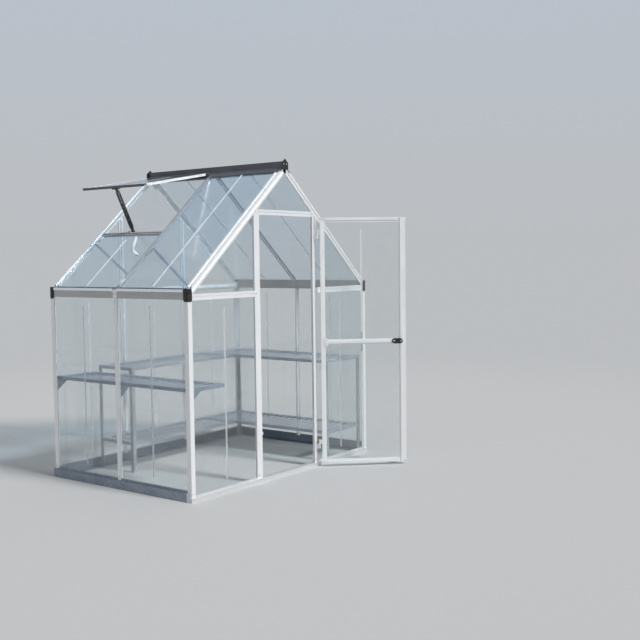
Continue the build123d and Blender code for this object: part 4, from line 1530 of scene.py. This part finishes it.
@dataclass(frozen=True)
class DoorLeaf:
    """Open door with its hinges, latch, cleats and screws.

    Args:
        rail_inset: Distance from the leaf's edges to the screws in its corners.
        middle_height: Height of the middle rail.
        cleat_place: Distance from the hinge edge to the plate that joins the middle rail to its stile.
        cleat_width: Width of that plate.
        cleat_height: Height of that plate.
        cleat_sheet: Thickness of that plate.
        latch_inset: Distance from the free edge to the middle of the latch.
        latch_thickness: Thickness of the latch's inner plate.
        latch_spread: Half the distance between the latch's screws.
        hinge_plate: Thickness of the hinge's plate on the jamb.
        hinge_height: Height of a knuckle.
        hinge_screw: Distance from the hinge line to the screws of its plate.
        hinge_shares: Heights of those screws as shares of a knuckle.
        hinge_head: Head of those screws.
    """

    rail_inset: float = 0.010
    middle_height: float = 0.867
    cleat_place: float = 0.030
    cleat_width: float = 0.032
    cleat_height: float = 0.056
    cleat_sheet: float = 0.0018
    latch_inset: float = 0.061
    latch_thickness: float = 0.010
    latch_spread: float = 0.024
    hinge_plate: float = 0.003
    hinge_height: float = 0.030
    hinge_screw: float = 0.0115
    hinge_shares: Pair = (0.28, 0.72)
    hinge_head: PanHead = PanHead(radius=0.0032, height=0.0018, recess=0.001)

    def dress(self) -> None:
        """Satin bars, clear sheets and a black latch."""
        UPRIGHT_BAR.dress("door_stiles", "jamb_hinges", "door_hinges")
        LEAF_BAR.dress("door_rails")
        LEAF_SHEET.dress("door_panes")
        BLACK.dress("door_handle")

    def face_screws(self, out: float, way: float) -> Spots:
        """Screws where the rails meet the stiles, on one face of the leaf.

        Args:
            out: Distance of that face from the inner one.
            way: 1 on the inner face, -1 on the outer face.

        Returns:
            The screws' places and their outward direction.
        """
        low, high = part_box("door_stiles")
        heights = [low.z + self.rail_inset, high.z - self.rail_inset]
        along, z = np.meshgrid([self.rail_inset, LEAF.width - self.rail_inset], heights)
        return LEAF.points(along.ravel(), out, z.ravel()), LEAF.direction((0, way, 0))

    def cleat(self) -> Form:
        """Plate over the joint of the middle rail, on the inner face.

        It is a rounded outline carried up from the leaf by the plate's thickness.

        Returns:
            The plate.
        """
        outline = rounded_plate(self.cleat_width, self.cleat_height, squareness=5.0)
        rise = np.array(LEAF.direction((0, 1, 0))) * self.cleat_sheet
        foot = LEAF.points([self.cleat_place], 0.0, self.middle_height)[0]
        return bar_form(outline, foot, foot + rise, LEAF.direction((1, 0, 0)))

    def fasten(self) -> None:
        """Screws of the leaf and the latch, the cleat, and the screws of the jamb's hinge plates."""
        inward = LEAF.direction((0, 1, 0))
        rise = np.array(SIDES) * self.cleat_height / 4 + self.middle_height
        cleat = LEAF.points([self.cleat_place] * 2, -self.cleat_sheet, rise)
        along = LEAF.width - self.latch_inset + np.array(SIDES) * self.latch_spread
        latch = LEAF.points(along, -self.latch_thickness, self.middle_height)
        faces = [self.face_screws(0.0, 1), self.face_screws(LEAF.thickness, -1)]
        screws("door_screws", [*faces, (cleat, inward), (latch, inward)], body="door")
        piece("rail_cleats", self.cleat(), "door", LEAF_BAR, SOFT_EDGE)
        low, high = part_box("door_hinges")
        x = LEAF.pivot[0] - self.hinge_screw
        y = -HOUSE.half_depth - self.hinge_plate
        feet = [low.z - self.hinge_height, high.z - 2 * self.hinge_height]
        rows = [(x, y, foot + share * self.hinge_height) for foot in feet for share in self.hinge_shares]
        screws("hinge_screws", [(np.array(rows), (0, -1, 0))], self.hinge_head)


@dataclass(frozen=True)
class Staging:
    """Steel shelves on angle legs and on the left wall, with the bolts that join them.

    Args:
        sheet: Thickness of a leg and of a shelf's rim.
        gap: Room between a shelf and its leg or the left stud.
        bolt_inset: Distance from a shelf's corner, or from the stud's middle, to a bolt.
        bolt_drop: Distance from a shelf's top to a bolt.
        stud_depth: Depth of the left wall's stud.
        head: Head of a bolt.
    """

    sheet: float = 0.002
    gap: float = 0.0003
    bolt_inset: float = 0.012
    bolt_drop: float = 0.011
    stud_depth: float = 0.024
    head: HexHead = HexHead(across=0.0045, height=0.003, washer=0.006, sheet=0.0008)

    def dress(self) -> None:
        """Zinc on every piece, dulled on the left shelf."""
        ZINC_SHEET.dress("shelf_left")
        PALE_ZINC.dress("shelf_upper", "shelf_lower", "shelf_legs")

    def corner_bolts(self, x: float, y: float, dx: float, dy: float, top: float) -> list[Spots]:
        """Two bolts through the leg at one corner of a shelf.

        Args:
            x: Corner of the shelf along the gable walls.
            y: Corner of the shelf along the side walls.
            dx: 1 where the leg stands on the right of the corner, -1 on the left.
            dy: 1 where the leg stands behind the corner, -1 in front.
            top: Height of the shelf.

        Returns:
            The bolts' places and their outward directions.
        """
        reach = self.gap + self.sheet
        level = top - self.bolt_drop
        side = np.array([[x + dx * reach, y - dy * self.bolt_inset, level]])
        end = np.array([[x - dx * self.bolt_inset, y + dy * reach, level]])
        return [(side, (dx, 0, 0)), (end, (0, dy, 0))]

    def fasten(self) -> None:
        """Bolts at the outer corners of the tiers, and two through the left shelf into the stud."""
        rim = self.stud_depth + self.gap + self.sheet - HOUSE.half_width
        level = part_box("shelf_left")[1].z - self.bolt_drop
        spots = [(np.array([(rim, way * self.bolt_inset, level) for way in SIDES]), (1, 0, 0))]
        for name in ("shelf_upper", "shelf_lower"):
            low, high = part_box(name)
            for x, y, dx, dy in ((high.x, low.y, 1, -1), (high.x, high.y, 1, 1), (low.x, high.y, -1, 1)):
                spots += self.corner_bolts(x, y, dx, dy, high.z)
        screws("staging_bolts", spots, self.head)


# Stage
@dataclass(frozen=True)
class Studio:
    """Pale floor, sun lamp, plain world and camera.

    Args:
        floor_size: Width of the floor.
        floor_colour: Colour of the floor near the object.
        backdrop: Colour that the floor fades into, which is also the world's at the horizon.
        zenith: Colour of the world overhead.
        world_level: Brightness of the world on the object.
        world_tint: Colour of the world's light on the object.
        sun_strength: Strength of the sun lamp.
        sun_width: Angle in degrees that the sun lamp fills, which softens its shadows.
        sun_side: Direction from the object to the sun lamp.
        fade_start: Distance where the floor starts to fade.
        fade_end: Distance where it has faded.
    """

    floor_size: float = 90.0
    floor_colour: Colour = (0.555, 0.56, 0.565)
    backdrop: Colour = (0.50, 0.515, 0.53)
    zenith: Colour = (0.46, 0.56, 0.70)
    world_level: float = 0.34
    world_tint: Colour = (0.97, 0.985, 1.0)
    sun_strength: float = 3.2
    sun_width: float = 12.0
    sun_side: Direction = (0.04, -0.76, 0.65)
    fade_start: float = 2.5
    fade_end: float = 9.0

    def floor(self) -> None:
        """Flat floor that fades into the backdrop with the distance from the object."""
        half = self.floor_size / 2
        mesh = bpy.data.meshes.new("floor")
        corners = [(-half, -half, 0), (half, -half, 0), (half, half, 0), (-half, half, 0)]
        mesh.from_pydata(corners, [], [(0, 1, 2, 3)])
        shader = Shader("pale_floor")
        place = shader.place()
        dimmed = 0.96
        dark = tuple(dimmed * part for part in self.floor_colour)
        speckle = shader.spread(shader.noise(place, scale=300.0, detail=2.0))
        shader.paint(shader.blend(speckle, dark, self.floor_colour), roughness=0.9)
        shader.feed(shader.surface, {"Specular IOR Level": 0.1})
        far = shader.field("VectorMath", {0: place}, "Value", operation="LENGTH")
        reach = {"Value": far, "From Min": self.fade_start, "From Max": self.fade_end}
        fade = shader.field("MapRange", reach, interpolation_type="SMOOTHSTEP")
        shader.cover(fade, shader.field("Emission", {"Color": (*self.backdrop, 1.0)}))
        mesh.materials.append(shader.material)
        placed("floor", mesh)

    def world(self) -> None:
        """World that shows as a pale backdrop and lights the object softly."""
        world = bpy.data.worlds.new("studio")
        bpy.context.scene.world = world
        graph = Graph(world)
        apart = graph.node("SeparateXYZ", {"Vector": graph.field("TexCoord", {}, "Generated")})
        rise = graph.field("MapRange", {"Value": apart.outputs["Z"], "From Min": 0.0, "From Max": 0.7})
        seen = graph.field("Background", {"Color": graph.blend(rise, self.backdrop, self.zenith)})
        glow = {"Color": (*self.world_tint, 1.0), "Strength": self.world_level}
        shown = graph.ray("Camera", "Glossy", "Transmission")
        both = graph.either(shown, graph.field("Background", glow), seen)
        graph.node("OutputWorld", {"Surface": both})

    def light(self) -> None:
        """Slightly soft sun lamp from the front and the right."""
        data = bpy.data.lights.new("sun", "SUN")
        data.energy = self.sun_strength
        data.angle = radians(self.sun_width)
        made = placed("sun", data)
        made.rotation_euler = Vector(self.sun_side).to_track_quat("Z", "Y").to_euler()

    def camera(self) -> None:
        """Camera at the photograph's viewpoint."""
        view = Viewpoint()
        data = bpy.data.cameras.new("camera")
        data.sensor_width = 36.0
        data.lens = view.focal_pixels / view.frame_pixels * data.sensor_width
        data.clip_end = 200.0
        made = placed("camera", data)
        made.matrix_world = view.matrix()
        bpy.context.scene.camera = made

    def build(self) -> None:
        """Floor, world, lamp, camera and plain view."""
        self.floor()
        self.world()
        self.light()
        self.camera()
        bpy.context.scene.view_settings.view_transform = "Standard"
        log.info("stage, lamp and camera")


@dataclass(frozen=True)
class Viewpoint:
    """Camera solved from the straight edges of the house.

    Args:
        place: Where the camera stands.
        heading: Angle from the side walls' direction towards the right.
        tilt: Angle above the horizon.
        roll: Turn about the line of sight.
        focal_pixels: Focal length in pixels of the photograph.
        frame_pixels: Width of the photograph in pixels.
    """

    place: Direction = (-4.99104, -4.65408, 1.45910)
    heading: float = 0.92733
    tilt: float = -0.06594
    roll: float = -0.01221
    focal_pixels: float = 964.70
    frame_pixels: float = 640.0

    def matrix(self) -> Matrix:
        """Camera's place and axes.

        The columns are the right, up and back directions, which follow from the heading, the tilt and
        the roll, and the place.

        Returns:
            Matrix that carries the camera's own axes into the world.
        """
        flat = cos(self.tilt)
        ahead = Vector((sin(self.heading) * flat, cos(self.heading) * flat, sin(self.tilt)))
        level = Vector((cos(self.heading), -sin(self.heading), 0.0))
        upright = level.cross(ahead)
        right = level * cos(self.roll) + upright * sin(self.roll)
        up = upright * cos(self.roll) - level * sin(self.roll)
        turn = Matrix((right, up, -ahead)).transposed().to_4x4()
        return Matrix.Translation(self.place) @ turn


def main() -> None:
    """Dress every sub-assembly, add its fittings and set the stage."""
    logging.basicConfig(level=logging.INFO, format="%(message)s")
    for part in (BaseFrame(), WallFrame(), RoofFrame(), RoofVent(), DoorLeaf(), Staging()):
        part.dress()
        part.fasten()
        log.info("%s is done", type(part).__name__)
    Glazing().dress()
    Studio().build()


if __name__ == "__main__":
    main()
